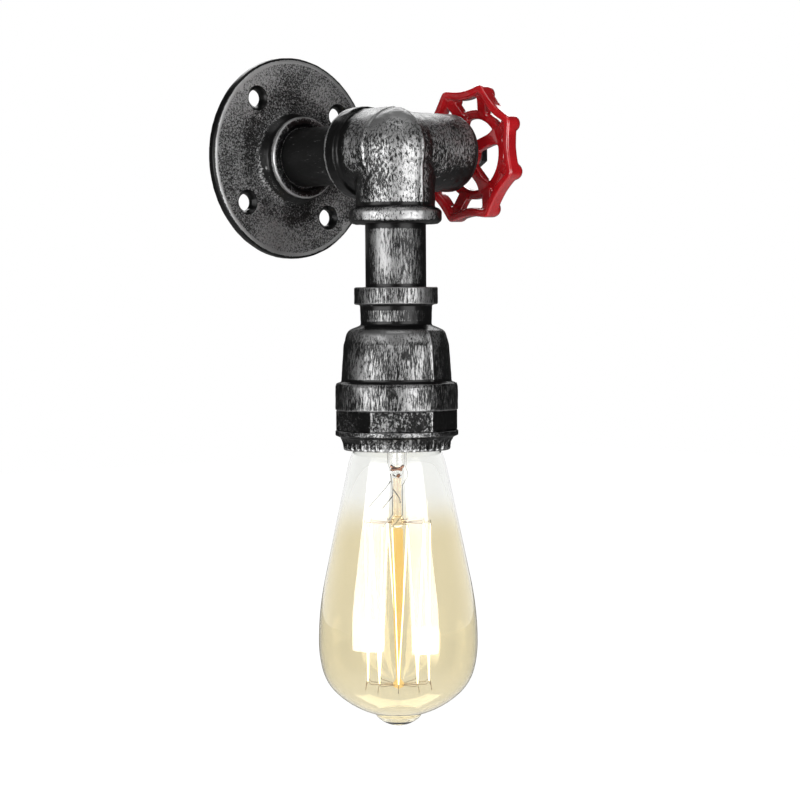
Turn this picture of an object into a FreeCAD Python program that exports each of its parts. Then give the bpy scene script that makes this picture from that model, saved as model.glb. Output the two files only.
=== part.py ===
"""Industrial pipe wall light: flange, pipe fittings, handwheel, lampholder and bulb.

Millimetres, +Z up.  The origin is the centre of the flange's back face, the wall
is the plane y = 0 and the lamp hangs in front of it, on the -Y side.
"""
import FreeCAD, Part
import math
import os
import re

import Sketcher
from FreeCAD import Placement, Rotation, Vector

SIZES = {
    # pipe and the places of the axes
    "lamp_offset": 68.34, "pipe_radius": 12.2, "pipe_wall": 2.3, "screw_depth": 11.0,
    "pipe_chamfer": 0.6, "lead_radius": 1.1, "lead_spread": 5.0, "earth_rise": 5.2,
    "bend_room": 3.57, "running_fit": 0.05, "bulb_fit": 0.35,
    # wall flange
    "flange_radius": 42.0, "flange_thick": 3.6, "flange_edge": 1.1, "hub_length": 11.97,
    "hub_radius": 16.2, "hub_lip": 17.0, "hub_foot": 20.4, "hole_circle": 30.8,
    "hole_radius": 3.5, "hole_sink": 5.0, "sink_depth": 1.5, "hole_turn": 37.5,
    "bush_thick": 2.7, "bush_sleeve": 5.0, "bush_recess": 0.3,
    # corner fitting
    "wall_arm": 22.5, "wall_arm_radius": 17.4, "wall_band_radius": 18.76,
    "wall_band_length": 6.5, "down_arm": 29.24, "down_arm_radius": 16.3,
    "down_band_radius": 18.0, "down_band_length": 6.39, "side_arm": 30.56,
    "side_arm_radius": 15.8, "side_arm_chamfer": 1.1, "heel_radius": 16.9,
    "thread_step": 1.6, "hollow_extra": 0.8, "seam_width": 1.3, "seam_height": 0.55,
    # bell
    "bell_top": 54.52, "bell_collar_radius": 16.8, "bell_collar_length": 6.8,
    "bell_neck_radius": 14.2, "bell_neck_length": 14.78, "bell_shoulder_radius": 21.2,
    "bell_shoulder_length": 9.2, "bell_flank_radius": 22.2, "bell_band_length": 10.77,
    "bell_band_radius": 24.5, "bell_length": 49.15, "bell_passage": 8.5,
    "bell_crown": 4.2, "bell_room": 18.2, "bell_thread": 19.5,
    "bell_thread_length": 13.5,
    # hexagon bushing and ribbed ring
    "hex_corner": 24.6, "hex_length": 8.17, "hex_turn": 24.2, "bushing_collar": 10.0,
    "ring_length": 7.84, "ring_lip_radius": 24.7, "ring_lip": 1.9,
    "ring_skirt_radius": 21.3, "ring_cove": 2.6, "ring_ribs": 30, "rib_height": 0.5,
    "rib_width": 1.9,
    # lampholder
    "skirt_radius": 17.4, "skirt_fit": 0.1, "holder_shoulder": 19.2,
    "holder_shoulder_height": 2.7, "holder_top_radius": 16.5, "holder_floor": 5.0,
    "holder_below": 2.76, "holder_flare": 16.4, "flare_height": 3.6,
    "shell_wall": 0.5, "shell_inside": 16.77, "shell_length": 24.1,
    "contact_depth": 0.78, "floor_gap": 2.4, "tab_thick": 0.6,
    "tab_width": 6.0, "tab_reach": 12.0, "tab_gap": 2.2, "rivet_radius": 1.5,
    "rivet_head": 2.4, "terminal_place": 9.4, "screw_head": 2.6, "screw_head_height": 1.9,
    "screw_shank": 1.5, "screw_length": 4.5, "tap_depth": 3.2, "contact_gap": 0.2, "spring_thick": 0.5,
    "spring_width": 5.0, "spring_length": 9.0, "lug_radius": 3.0, "lug_thick": 0.8,
    "lug_place": 11.3,
    # wheel, its stem and the plug of the side port
    "plug_flange_radius": 14.6, "plug_flange": 1.8, "plug_boss_radius": 7.0,
    "plug_boss": 2.4, "stem_radius": 4.0, "stem_collar_radius": 6.5,
    "stem_collar": 2.2, "stem_gap": 0.3, "stem_thread_radius": 3.0,
    "wheel_radius": 28.4, "wheel_near": 37.8, "wheel_far": 46.2, "rim_depth": 5.4,
    "rim_wall": 3.3, "scallop_radius": 44.0, "lobes": 8, "lobe_radius": 3.1,
    "lobe_start": 39.8, "lobe_reach": 45.3, "wheel_turn": 18.66, "ring_inner": 14.8, "ring_outer": 18.2,
    "ring_near": 42.7, "spokes": 4, "spoke_width": 5.0, "spoke_thick": 3.0, "spoke_step": 0.6,
    "arm_width": 5.2, "arm_thick": 3.0, "hub_size": 6.6, "hub_near": 36.0, "hub_far": 41.6,
    "washer_radius": 6.0, "washer_thick": 0.8, "nut_flats": 10.0, "nut_height": 3.8,
    # bulb: heights are measured up from the tip of the glass
    "bulb_length": 145.0, "cap_length": 27.0, "cap_radius": 13.15, "cap_wall": 0.4,
    "cap_cone": 3.0, "glass_wall": 0.8, "glass_throat": 14.5,
    "throat_height": 115.62, "glass_shoulder": 19.8, "shoulder_height": 105.62,
    "glass_flank": 29.5, "flank_height": 58.72, "bulb_radius": 32.0,
    "equator_height": 34.12, "glass_haunch": 30.6, "haunch_height": 23.12,
    "glass_base": 24.8, "base_height": 13.42, "tip_radius": 9.3, "tip_height": 4.92,
    "button_radius": 4.6, "button_height": 1.3, "insulator_radius": 9.0,
    "insulator_height": 2.4, "stem_tube": 3.8, "stem_tube_end": 104.6,
    "pinch_width": 7.6, "pinch_thick": 3.2, "pinch_end": 100.0, "rod_radius": 1.6,
    "bead_radius": 2.8, "bead_height": 82.1, "foot_height": 16.4, "foot_radius": 2.2,
    "support_radius": 0.25, "upper_reach": 13.2, "upper_count": 9,
    "lower_reach": 12.8, "lower_count": 10, "filament_radius": 0.3,
}

# derived sizes and places, as texts for the expressions
LAMP_TIP = "(bulb_length + contact_top)"
NECK = "(cap_radius - cap_wall)"
DERIVED = {
    "lead_bend": "((fitting_bore - bend_room)/(1 - cos(45)))",
    "pipe_bore": "(pipe_radius - pipe_wall)",
    "fitting_bore": "(pipe_radius - thread_step)",
    "hollow_radius": "(fitting_bore + hollow_extra)",
    "bell_neck_end": "(bell_top + bell_neck_length)",
    "bell_shoulder_end": "(bell_neck_end + bell_shoulder_length)",
    "bell_ceiling": "(bell_neck_end + bell_crown)",
    "bell_end": "(bell_top + bell_length)",
    "bell_band_start": "(bell_end - bell_band_length)",
    "hex_end": "(bell_end + hex_length)",
    "ring_end": "(hex_end + ring_length)",
    "holder_end": "(hex_end + holder_below)",
    "shell_start": "(bell_end - shell_inside)",
    "shell_end": "(shell_start + shell_length)",
    "contact_top": "(shell_start - contact_depth)",
    "ceramic_floor": "(shell_start - floor_gap)",
    "ceramic_top": "(ceramic_floor - holder_floor)",
    "ledge": "(bell_end - bushing_collar)",
}
DERIVED_WORDS = re.compile(rf"\b({'|'.join(DERIVED)})\b")

document = FreeCAD.newDocument("pipe_wall_light")
sheet = document.addObject("Spreadsheet::Sheet", "Sizes")
for row, (alias, value) in enumerate(SIZES.items(), 1):
    sheet.set(f"A{row}", alias)
    sheet.set(f"B{row}", str(value))
    sheet.setAlias(f"B{row}", alias)
document.recompute()
probe = document.addObject("App::FeaturePython", "Probe")
probe.addProperty("App::PropertyFloat", "Value")

TO_WALL_FRONT = Rotation(Vector(1, 0, 0), 90)
TO_SIDE = Rotation(Vector(0, 1, 0), 90)
UPRIGHT = Rotation()
PARTS = []


def bound(text):
    """The expression with derived places put in and every size tied to the sheet."""
    text = str(text)
    while DERIVED_WORDS.search(text):
        text = DERIVED_WORDS.sub(lambda match: DERIVED[match.group()], text)
    return re.sub(r"\b[a-z]+_?[a-z_]*\b", tie_word, text)


def tie_word(match):
    word = match.group()
    return f"Sizes.{word}" if word in SIZES else word


def number(text):
    """The present value of an expression."""
    probe.setExpression("Value", bound(text))
    probe.recompute()
    return probe.Value


def tie(thing, field, text):
    thing.setExpression(field, bound(text))


def place(body, x="0", y="0", z="0", turn=UPRIGHT):
    body.Placement = Placement(Vector(number(x), number(y), number(z)), turn)
    for axis, text in zip("xyz", (x, y, z)):
        tie(body, f"Placement.Base.{axis}", text)


def new_body(name, where="lamp", spin="0"):
    """A body whose own Z axis is the wall pipe's, the side port's or the lamp's axis."""
    body = document.addObject("PartDesign::Body", name)
    body.Label = name
    own_turn = Rotation(Vector(0, 0, 1), number(spin))
    if where == "wall":
        place(body, turn=TO_WALL_FRONT * own_turn)
    elif where == "side":
        place(body, y="-lamp_offset", turn=TO_SIDE * own_turn)
    else:
        place(body, y="-lamp_offset", turn=own_turn)
    PARTS.append(body)
    return body


def new_sketch(body, name, plane="XZ_Plane", lift="0"):
    sketch = body.newObject("Sketcher::SketchObject", name)
    base = [item for item in body.Origin.OriginFeatures if item.Role == plane][0]
    sketch.AttachmentSupport = (base, [""])
    sketch.MapMode = "FlatFace"
    if lift != "0":
        tie(sketch, "AttachmentOffset.Base.z", lift)
    return sketch


def arc_between(start, end, radius):
    """Minor arc from start to end; a positive radius turns left, a negative one right."""
    chord = end - start
    middle = (start + end) * 0.5
    left = Vector(-chord.y, chord.x, 0).normalize()
    reach = math.sqrt(max(radius * radius - chord.Length ** 2 / 4, 0))
    centre = middle + left * math.copysign(reach, radius)
    first, last = (start, end) if radius > 0 else (end, start)
    angles = [math.atan2(p.y - centre.y, p.x - centre.x) for p in (first, last)]
    return Part.ArcOfCircle(Part.Circle(centre, Vector(0, 0, 1), abs(radius)), *angles)


def draw(sketch, outline):
    """Closed outline of (x, y) corners; a third entry makes an arc to the next corner."""
    corners = [Vector(number(item[0]), number(item[1]), 0) for item in outline]
    ends = []
    for index, item in enumerate(outline):
        start, end = corners[index], corners[(index + 1) % len(corners)]
        if len(item) == 3:
            radius = number(item[2])
            edge = sketch.addGeometry(arc_between(start, end, radius), False)
            ends.append((edge, 1, 2) if radius > 0 else (edge, 2, 1))
        else:
            edge = sketch.addGeometry(Part.LineSegment(start, end), False)
            ends.append((edge, 1, 2))
    for index, (edge, _, last) in enumerate(ends):
        following, first, _ = ends[(index + 1) % len(ends)]
        sketch.addConstraint(Sketcher.Constraint("Coincident", edge, last, following, first))
    for (edge, first, _), item, corner in zip(ends, outline, corners):
        fix(sketch, Sketcher.Constraint("DistanceX", -1, 1, edge, first, corner.x), item[0])
        fix(sketch, Sketcher.Constraint("DistanceY", -1, 1, edge, first, corner.y), item[1])
        if len(item) == 3:
            radius = item[2].lstrip("-")
            fix(sketch, Sketcher.Constraint("Radius", edge, number(radius)), radius)


def fix(sketch, constraint, text):
    index = sketch.addConstraint(constraint)
    tie(sketch, f"Constraints[{index}]", text)


def draw_circle(sketch, x, y, radius):
    centre = Vector(number(x), number(y), 0)
    circle = Part.Circle(centre, Vector(0, 0, 1), number(radius))
    edge = sketch.addGeometry(circle, False)
    fix(sketch, Sketcher.Constraint("DistanceX", -1, 1, edge, 3, centre.x), x)
    fix(sketch, Sketcher.Constraint("DistanceY", -1, 1, edge, 3, centre.y), y)
    fix(sketch, Sketcher.Constraint("Radius", edge, circle.Radius), radius)


def turned(body, name, outline, plane="XZ_Plane", axis="V_Axis", cut=False):
    """A full turn of an outline about a sketch axis, added to the body or cut from it."""
    sketch = new_sketch(body, f"{name}_outline", plane)
    draw(sketch, outline)
    kind = "PartDesign::Groove" if cut else "PartDesign::Revolution"
    feature = body.newObject(kind, name)
    feature.Profile = sketch
    feature.ReferenceAxis = (sketch, [axis])
    feature.Angle = 360
    document.recompute()
    return feature


def padded(body, name, outline, plane="XY_Plane", lift="0", length="1", middle=False):
    """A pad of an outline, to one side of its plane or half to each side."""
    sketch = new_sketch(body, f"{name}_outline", plane, lift)
    draw(sketch, outline)
    feature = body.newObject("PartDesign::Pad", name)
    feature.Profile = sketch
    tie(feature, "Length", length)
    if middle:
        feature.SideType = "Symmetric"
    document.recompute()
    return feature


def round_pad(body, name, circle, lift="0", length="1"):
    sketch = new_sketch(body, f"{name}_circle", "XY_Plane", lift)
    draw_circle(sketch, *circle)
    feature = body.newObject("PartDesign::Pad", name)
    feature.Profile = sketch
    tie(feature, "Length", length)
    document.recompute()
    return feature


def holed(body, name, circles, lift="0", length="1"):
    """Round holes cut along the body's own -Z from the height named by lift."""
    sketch = new_sketch(body, f"{name}_circles", "XY_Plane", lift)
    for circle in circles:
        draw_circle(sketch, *circle)
    before = body.Shape.Volume
    feature = body.newObject("PartDesign::Pocket", name)
    feature.Profile = sketch
    tie(feature, "Length", length)
    document.recompute()
    assert feature.Shape.Volume < before, f"{name} cuts nothing"
    return feature


def ball(body, name, x, z, radius):
    """Sphere added to the body on its local plane y = 0."""
    sphere = body.newObject("PartDesign::AdditiveSphere", name)
    tie(sphere, "Radius", radius)
    tie(sphere, "Placement.Base.x", x)
    tie(sphere, "Placement.Base.z", z)
    document.recompute()
    return sphere


def repeated(body, name, features, count):
    """The features repeated round the body's own Z axis."""
    pattern = body.newObject("PartDesign::PolarPattern", name)
    pattern.Originals = features
    axis = [item for item in body.Origin.OriginFeatures if item.Role == "Z_Axis"][0]
    pattern.Axis = (axis, [""])
    pattern.Angle = 360
    tie(pattern, "Occurrences", count)
    body.Tip = pattern
    document.recompute()
    return pattern


def shaped(name, shape, offset=Vector()):
    """A sub-part whose shape is made by the functions below from the sheet's sizes."""
    feature = document.addObject("Part::Feature", name)
    feature.Label = name
    feature.Shape = shape
    feature.Placement = Placement(offset, UPRIGHT)
    PARTS.append(feature)
    return feature


def wall_flange():
    body = new_body("wall_flange", "wall")
    face, edge = "flange_thick", "flange_edge"
    turned(body, "plate_and_hub", [
        ("pipe_radius", "0"),
        ("flange_radius - 0.6", "0"),
        ("flange_radius", "0.6"),
        ("flange_radius", f"{face} - {edge}", edge),
        (f"flange_radius - {edge}", face),
        ("hub_foot", face, "-(hub_foot - hub_radius)"),
        ("hub_radius", f"{face} + hub_foot - hub_radius"),
        ("hub_radius", "hub_length - 3.2"),
        ("hub_lip", "hub_length - 2.2"),
        ("hub_lip", "hub_length - 0.8", "0.8"),
        ("hub_lip - 0.8", "hub_length"),
        ("pipe_radius + 1.2", "hub_length"),
        ("pipe_radius", "hub_length - 1.2"),
    ])
    holes = ("hole_circle*cos(hole_turn)", "hole_circle*sin(hole_turn)")
    drilled = holed(body, "screw_hole", [(*holes, "hole_radius")], face, f"{face} + 1")
    sunk = holed(body, "countersink", [(*holes, "hole_sink")], face, "sink_depth")
    repeated(body, "screw_holes", [drilled, sunk], "4")


def pipe(name, where, start, end):
    """A length of pipe with chamfered ends, along its body's own Z axis."""
    body = new_body(name, where)
    turned(body, "tube", [
        ("pipe_bore", start),
        ("pipe_radius - pipe_chamfer", start),
        ("pipe_radius", f"{start} + pipe_chamfer"),
        ("pipe_radius", f"{end} - pipe_chamfer"),
        ("pipe_radius - pipe_chamfer", end),
        ("pipe_bore", end),
    ])


def wire_bush():
    """Bush in the flange's back: it holds the three leads apart and seats on the pipe."""
    body = new_body("wire_bush", "wall")
    plate_end = "bush_recess + bush_thick"
    turned(body, "plug", [
        ("0", "bush_recess"),
        ("pipe_radius - 0.4", "bush_recess"),
        ("pipe_radius", "bush_recess + 0.4"),
        ("pipe_radius", plate_end),
        ("pipe_bore", plate_end),
        ("pipe_bore", f"{plate_end} + bush_sleeve"),
        ("pipe_bore - 1.4", f"{plate_end} + bush_sleeve"),
        ("pipe_bore - 1.4", plate_end),
        ("0", plate_end),
    ])
    places = [("lead_spread", "0"), ("-lead_spread", "0"), ("0", "earth_rise")]
    circles = [(x, y, "lead_radius") for x, y in places]
    holed(body, "lead_holes", circles, plate_end, "bush_thick + 1")


def half_disc(radius):
    return [("0", f"-{radius}", radius), (radius, "0", radius), ("0", radius)]


def corner_elbow():
    body = new_body("corner_elbow")
    down_foot = "-down_arm + down_band_length"
    turned(body, "down_branch", [
        ("0", "-down_arm"),
        ("down_band_radius - 1.2", "-down_arm", "4.9"),
        ("down_band_radius - 1.2", down_foot),
        ("down_arm_radius", f"{down_foot} + 0.8"),
        ("down_arm_radius", "0"),
        ("0", "0"),
    ])
    band = "wall_arm - wall_band_length"
    turned(body, "wall_branch", [
        ("0", "0"),
        ("wall_arm", "0"),
        ("wall_arm", "wall_band_radius - 0.9", "0.9"),
        ("wall_arm - 0.9", "wall_band_radius"),
        (f"{band} + 0.9", "wall_band_radius"),
        (band, "wall_arm_radius + 0.4"),
        (f"{band} - 0.8", "wall_arm_radius"),
        ("0", "wall_arm_radius"),
    ], "YZ_Plane", "H_Axis")
    turned(body, "side_branch", [
        ("0", "0"),
        ("side_arm", "0"),
        ("side_arm", "side_arm_radius - side_arm_chamfer", "side_arm_chamfer"),
        ("side_arm - side_arm_chamfer", "side_arm_radius"),
        ("0", "side_arm_radius"),
    ], "XZ_Plane", "H_Axis")
    turned(body, "heel", half_disc("heel_radius"))
    seam = "heel_radius + seam_height"
    padded(body, "seam", [
        (f"-({seam})", f"{down_foot} + 0.4"),
        ("-heel_radius + 3", f"{down_foot} + 0.4"),
        ("-heel_radius + 3", "0"),
        ("0", "heel_radius - 3"),
        (band, "heel_radius - 3"),
        (band, "wall_arm_radius + seam_height"),
        ("0", seam, seam),
        (f"-({seam})", "0"),
    ], "YZ_Plane", length="seam_width", middle=True)
    for name, plane, axis, along in (("wall_port", "YZ_Plane", "H_Axis", "wall_arm"),
                                     ("side_port", "XZ_Plane", "H_Axis", "side_arm")):
        turned(body, name, [
            ("0", "0"),
            (f"{along} + 1", "0"),
            (f"{along} + 1", "pipe_radius"),
            (f"{along} - screw_depth", "pipe_radius"),
            (f"{along} - screw_depth", "fitting_bore"),
            ("0", "fitting_bore"),
        ], plane, axis, cut=True)
    turned(body, "down_port", [
        ("0", "0"),
        ("0", "-down_arm - 1"),
        ("pipe_radius", "-down_arm - 1"),
        ("pipe_radius", "-down_arm + screw_depth"),
        ("fitting_bore", "-down_arm + screw_depth"),
        ("fitting_bore", "0"),
    ], cut=True)
    turned(body, "hollow", half_disc("hollow_radius"), cut=True)


def bell_reducer():
    body = new_body("bell_reducer")
    collar_end = "bell_top + bell_collar_length"
    turned(body, "casting", [
        ("pipe_radius", "-bell_top - screw_depth - 1"),
        ("pipe_radius", "-bell_top"),
        ("bell_collar_radius - 0.7", "-bell_top"),
        ("bell_collar_radius", "-bell_top - 0.7"),
        ("bell_collar_radius", f"-({collar_end}) + 0.6"),
        ("bell_collar_radius - 0.7", f"-({collar_end})"),
        ("bell_neck_radius + 0.4", f"-({collar_end}) - 0.2", "0.9"),
        ("bell_neck_radius", f"-({collar_end}) - 1.1"),
        ("bell_neck_radius", "-bell_neck_end", "1.6"),
        ("bell_neck_radius + 1.4", "-bell_neck_end - 1.1"),
        ("bell_shoulder_radius - 4.2", "-bell_neck_end - 1.7", "-7"),
        ("bell_shoulder_radius", "-bell_shoulder_end"),
        ("bell_flank_radius", "-bell_band_start + 0.8"),
        ("bell_band_radius - 0.6", "-bell_band_start - 0.2"),
        ("bell_band_radius", "-bell_band_start - 0.9"),
        ("bell_band_radius", "-bell_end + 0.7"),
        ("bell_band_radius - 0.6", "-bell_end"),
        ("bell_thread", "-bell_end"),
        ("bell_thread", "-bell_end + bell_thread_length"),
        ("bell_room", "-bell_end + bell_thread_length + 1.4"),
        ("bell_room", "-bell_ceiling - 5", "4.2"),
        ("bell_room - 4", "-bell_ceiling"),
        ("bell_passage", "-bell_ceiling"),
        ("bell_passage", "-bell_top - screw_depth - 1"),
    ])
    tapped = [("0", "-lug_place", "screw_shank")]
    holed(body, "earth_screw_hole", tapped, "-bell_ceiling + tap_depth", "tap_depth + 1")
    ridge = "bell_flank_radius + 0.5"
    padded(body, "parting_ridge", [
        (f"-({ridge})", "-bell_band_start"),
        ("-bell_shoulder_radius + 1.5", "-bell_band_start"),
        ("-bell_shoulder_radius + 1.5", "-bell_shoulder_end"),
        ("-bell_shoulder_radius - 0.5", "-bell_shoulder_end"),
    ], "YZ_Plane", length="seam_width", middle=True)


def hexagon(corner_radius):
    corners = []
    for index in range(6):
        angle = 60 * index
        corners.append((f"{corner_radius}*cos({angle})", f"{corner_radius}*sin({angle})"))
    return corners


def hex_bushing():
    body = new_body("hex_bushing", spin="hex_turn")
    padded(body, "hexagon", hexagon("hex_corner"), lift="-hex_end", length="hex_end - bell_end")
    turned(body, "collar", [
        ("0", "-bell_end - 1"),
        ("bell_thread", "-bell_end - 1"),
        ("bell_thread", "-ledge - 0.6"),
        ("bell_thread - 0.6", "-ledge"),
        ("0", "-ledge"),
    ])
    turned(body, "bore", [
        ("0", "-hex_end - 1"),
        ("skirt_radius + skirt_fit", "-hex_end - 1"),
        ("skirt_radius + skirt_fit", "-ledge + 1"),
        ("0", "-ledge + 1"),
    ], cut=True)


def lamp_ring():
    body = new_body("lamp_ring")
    lip_foot = "-hex_end - ring_lip"
    turned(body, "ring", [
        ("skirt_radius", "-hex_end"),
        ("skirt_radius", "-holder_end"),
        ("ring_skirt_radius - 2.2", "-ring_end + 1"),
        ("ring_skirt_radius - 1.8", "-ring_end"),
        ("ring_skirt_radius - 0.5", "-ring_end"),
        ("ring_skirt_radius", "-ring_end + 0.5"),
        ("ring_skirt_radius", f"{lip_foot} - ring_cove", "-(ring_cove + 0.6)"),
        ("ring_lip_radius - 0.6", lip_foot),
        ("ring_lip_radius", f"{lip_foot} + 0.6"),
        ("ring_lip_radius", "-hex_end - 0.5"),
        ("ring_lip_radius - 0.5", "-hex_end"),
    ][::-1])
    rib = padded(body, "rib", [
        ("ring_skirt_radius - 0.8", "-rib_width/2"),
        ("ring_skirt_radius + rib_height", "-rib_width/4"),
        ("ring_skirt_radius + rib_height", "rib_width/4"),
        ("ring_skirt_radius - 0.8", "rib_width/2"),
    ], lift="-ring_end + 0.7", length="ring_end - 0.7 - hex_end - ring_lip - 1")
    repeated(body, "ribs", [rib], "ring_ribs")


def lampholder_body():
    """Ceramic body: its shoulder rests on the bushing and the ring pulls it down."""
    body = new_body("lampholder_body")
    shell = "cap_radius + bulb_fit + shell_wall"
    turned(body, "ceramic", [
        ("0", "-ceramic_floor"),
        (shell, "-ceramic_floor"),
        (shell, "-holder_end + flare_height"),
        ("holder_flare", "-holder_end"),
        ("skirt_radius", "-holder_end"),
        ("skirt_radius", "-ledge"),
        ("holder_shoulder", "-ledge"),
        ("holder_shoulder", "-ledge + holder_shoulder_height"),
        ("holder_top_radius", "-ledge + holder_shoulder_height + 1"),
        ("holder_top_radius", "-ceramic_top - 1"),
        ("holder_top_radius - 1", "-ceramic_top"),
        ("0", "-ceramic_top"),
    ])
    holed(body, "rivet_hole", [("0", "0", "rivet_radius")], "-ceramic_top", "holder_floor + 1")
    screw_holes = [(x, "0", "screw_shank") for x in ("terminal_place", "-terminal_place")]
    holed(body, "screw_holes", screw_holes, "-ceramic_top", "screw_length")
    slot = new_sketch(body, "blade_slot_outline", "XY_Plane", "-ceramic_top")
    draw(slot, blade_section(shell))
    pocket = body.newObject("PartDesign::Pocket", "blade_slot")
    pocket.Profile = slot
    tie(pocket, "Length", "holder_floor + shell_start - ceramic_floor")
    document.recompute()


def blade_section(shell):
    """Section of the neutral blade, over the rim of the screw shell."""
    return [
        (f"-({shell})", "-tab_width/3"),
        (f"-({shell}) + tab_thick", "-tab_width/3"),
        (f"-({shell}) + tab_thick", "tab_width/3"),
        (f"-({shell})", "tab_width/3"),
    ]


def screw_shell():
    body = new_body("screw_shell")
    inner = "cap_radius + bulb_fit"
    turned(body, "shell", [
        (inner, "-shell_end"),
        (f"{inner} + shell_wall", "-shell_end"),
        (f"{inner} + shell_wall", "-shell_start"),
        (inner, "-shell_start"),
    ])


def neutral_terminal():
    """Strip from the rim of the shell through the ceramic floor to the neutral screw."""
    body = new_body("neutral_terminal")
    shell = "cap_radius + bulb_fit + shell_wall"
    padded(body, "blade", blade_section(shell), lift="-shell_start",
           length="shell_start - ceramic_top + tab_thick")
    padded(body, "tab", [
        (f"-({shell})", "-tab_width/2"),
        ("-tab_gap - 1.8", "-tab_width/2"),
        ("-tab_gap - 1.8", "tab_width/2"),
        (f"-({shell})", "tab_width/2"),
    ], lift="-ceramic_top", length="tab_thick")
    hole = [("-terminal_place", "0", "screw_shank")]
    holed(body, "screw_hole", hole, "-ceramic_top + tab_thick", "tab_thick")


def live_terminal():
    body = new_body("live_terminal")
    padded(body, "tab", [
        ("-tab_gap", "-tab_width/2"),
        ("tab_reach", "-tab_width/2"),
        ("tab_reach", "tab_width/2"),
        ("-tab_gap", "tab_width/2"),
    ], lift="-ceramic_top", length="tab_thick")
    holes = [("terminal_place", "0", "screw_shank"), ("0", "0", "rivet_radius")]
    holed(body, "holes", holes, "-ceramic_top + tab_thick", "tab_thick")


def contact_rivet():
    """Rivet that joins the live terminal to the centre contact through the floor."""
    body = new_body("contact_rivet")
    head, foot = "-ceramic_top + tab_thick", "-ceramic_floor - spring_thick"
    turned(body, "rivet", [
        ("0", foot),
        ("rivet_radius", foot),
        ("rivet_radius", head),
        ("rivet_head", head, "1.9"),
        ("rivet_head - 1.2", f"{head} + 1"),
        ("0", f"{head} + 1"),
    ])


def centre_contact():
    """Bent spring strip under the ceramic floor; its nose stands over the bulb's contact."""
    body = new_body("centre_contact")
    root, nose = "-ceramic_floor", "-contact_top + contact_gap"
    padded(body, "strip", [
        ("-spring_length/2", root),
        ("-spring_length/2", f"{root} - spring_thick"),
        ("spring_length/2 - 1", f"{root} - spring_thick"),
        ("spring_length/2 - 1", f"{nose} + spring_thick"),
        ("1.8", f"{nose} + spring_thick"),
        ("1.8", nose),
        ("spring_length/2 + 0.6", nose),
        ("spring_length/2", root),
    ], "XZ_Plane", length="spring_width", middle=True)
    holed(body, "rivet_hole", [("0", "0", "rivet_radius")], root, "spring_thick")


def slotted_screw(name, places, seat, shank, direction=1):
    """Cheese-head screws; direction 1 drives them down, -1 drives them up."""
    solids = []
    axis = Vector(0, 0, direction)
    height = number("screw_head_height")
    for x, y in places:
        base = Vector(number(x), number(y), number(seat))
        head = Part.makeCylinder(number("screw_head"), height, base, axis)
        shank_end = base - axis * number(shank)
        body = head.fuse(Part.makeCylinder(number("screw_shank"), number(shank), shank_end, axis))
        slot = Part.makeBox(2 * number("screw_head"), 0.7, 2 * 0.8)
        slot.translate(base + axis * height - Vector(number("screw_head"), 0.35, 0.8))
        solids.append(body.cut(slot))
    return shaped(name, solids[0] if len(solids) == 1 else Part.makeCompound(solids),
                  Vector(0, -number("lamp_offset"), 0))


def screws():
    terminals = [("terminal_place", "0"), ("-terminal_place", "0")]
    tab_top = "-ceramic_top + tab_thick"
    slotted_screw("terminal_screws", terminals, tab_top, "screw_length + tab_thick")
    slotted_screw("earth_screw", [("0", "-lug_place")], "-bell_ceiling - lug_thick",
                  "lug_thick + tap_depth", -1)


def earth_lug():
    """Ring terminal under the ceiling of the bell; its tail meets the earth lead."""
    body = new_body("earth_lug")
    under = "-bell_ceiling - lug_thick"
    round_pad(body, "ring", ("0", "-lug_place", "lug_radius"), under, "lug_thick")
    padded(body, "tail", [
        ("-1.6", "-earth_rise + 1.4"),
        ("-1.6", "-lug_place"),
        ("1.6", "-lug_place"),
        ("1.6", "-earth_rise + 1.4"),
    ], lift=under, length="lug_thick")
    hole = [("0", "-lug_place", "screw_shank")]
    holed(body, "hole", hole, "-bell_ceiling", "lug_thick")


def lead(name, across, rise, end):
    """One insulated lead from the wall bush round the corner and down to its terminal."""
    start = Vector(number(across), -number("bush_recess"), number(rise))
    offset = number("lamp_offset")
    bend = number(f"lead_bend + {rise}")
    corner_in = Vector(start.x, -offset + number("lead_bend"), start.z)
    centre = Vector(start.x, corner_in.y, start.z - bend)
    middle = centre + Vector(0, -1, 1).normalize() * bend
    corner_out = Vector(start.x, centre.y - bend, centre.z)
    foot = Vector(start.x, corner_out.y, -number(end))
    path = Part.Wire([
        Part.LineSegment(start, corner_in).toShape(),
        Part.Arc(corner_in, middle, corner_out).toShape(),
        Part.LineSegment(corner_out, foot).toShape(),
    ])
    circle = Part.Circle(start, Vector(0, 1, 0), number("lead_radius")).toShape()
    shaped(name, path.makePipeShell([Part.Wire(circle)], True, False))


def leads():
    on_tab = "ceramic_top - tab_thick"
    lead("live_lead", "lead_spread", "0", on_tab)
    lead("neutral_lead", "-lead_spread", "0", on_tab)
    lead("earth_lead", "0", "earth_rise", "bell_ceiling")


def port_plug():
    """Plug that closes the side port and guides the wheel's stem."""
    body = new_body("port_plug", "side")
    guide = "stem_radius + running_fit"
    face = "side_arm + plug_flange"
    turned(body, "plug", [
        (guide, "side_arm - screw_depth"),
        ("pipe_radius", "side_arm - screw_depth"),
        ("pipe_radius", "side_arm"),
        ("plug_flange_radius", "side_arm"),
        ("plug_flange_radius", f"{face} - 0.7", "0.7"),
        ("plug_flange_radius - 0.7", face),
        ("plug_boss_radius", face),
        ("plug_boss_radius", f"{face} + plug_boss - 0.6"),
        ("plug_boss_radius - 0.6", f"{face} + plug_boss"),
        (guide, f"{face} + plug_boss"),
    ])


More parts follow.
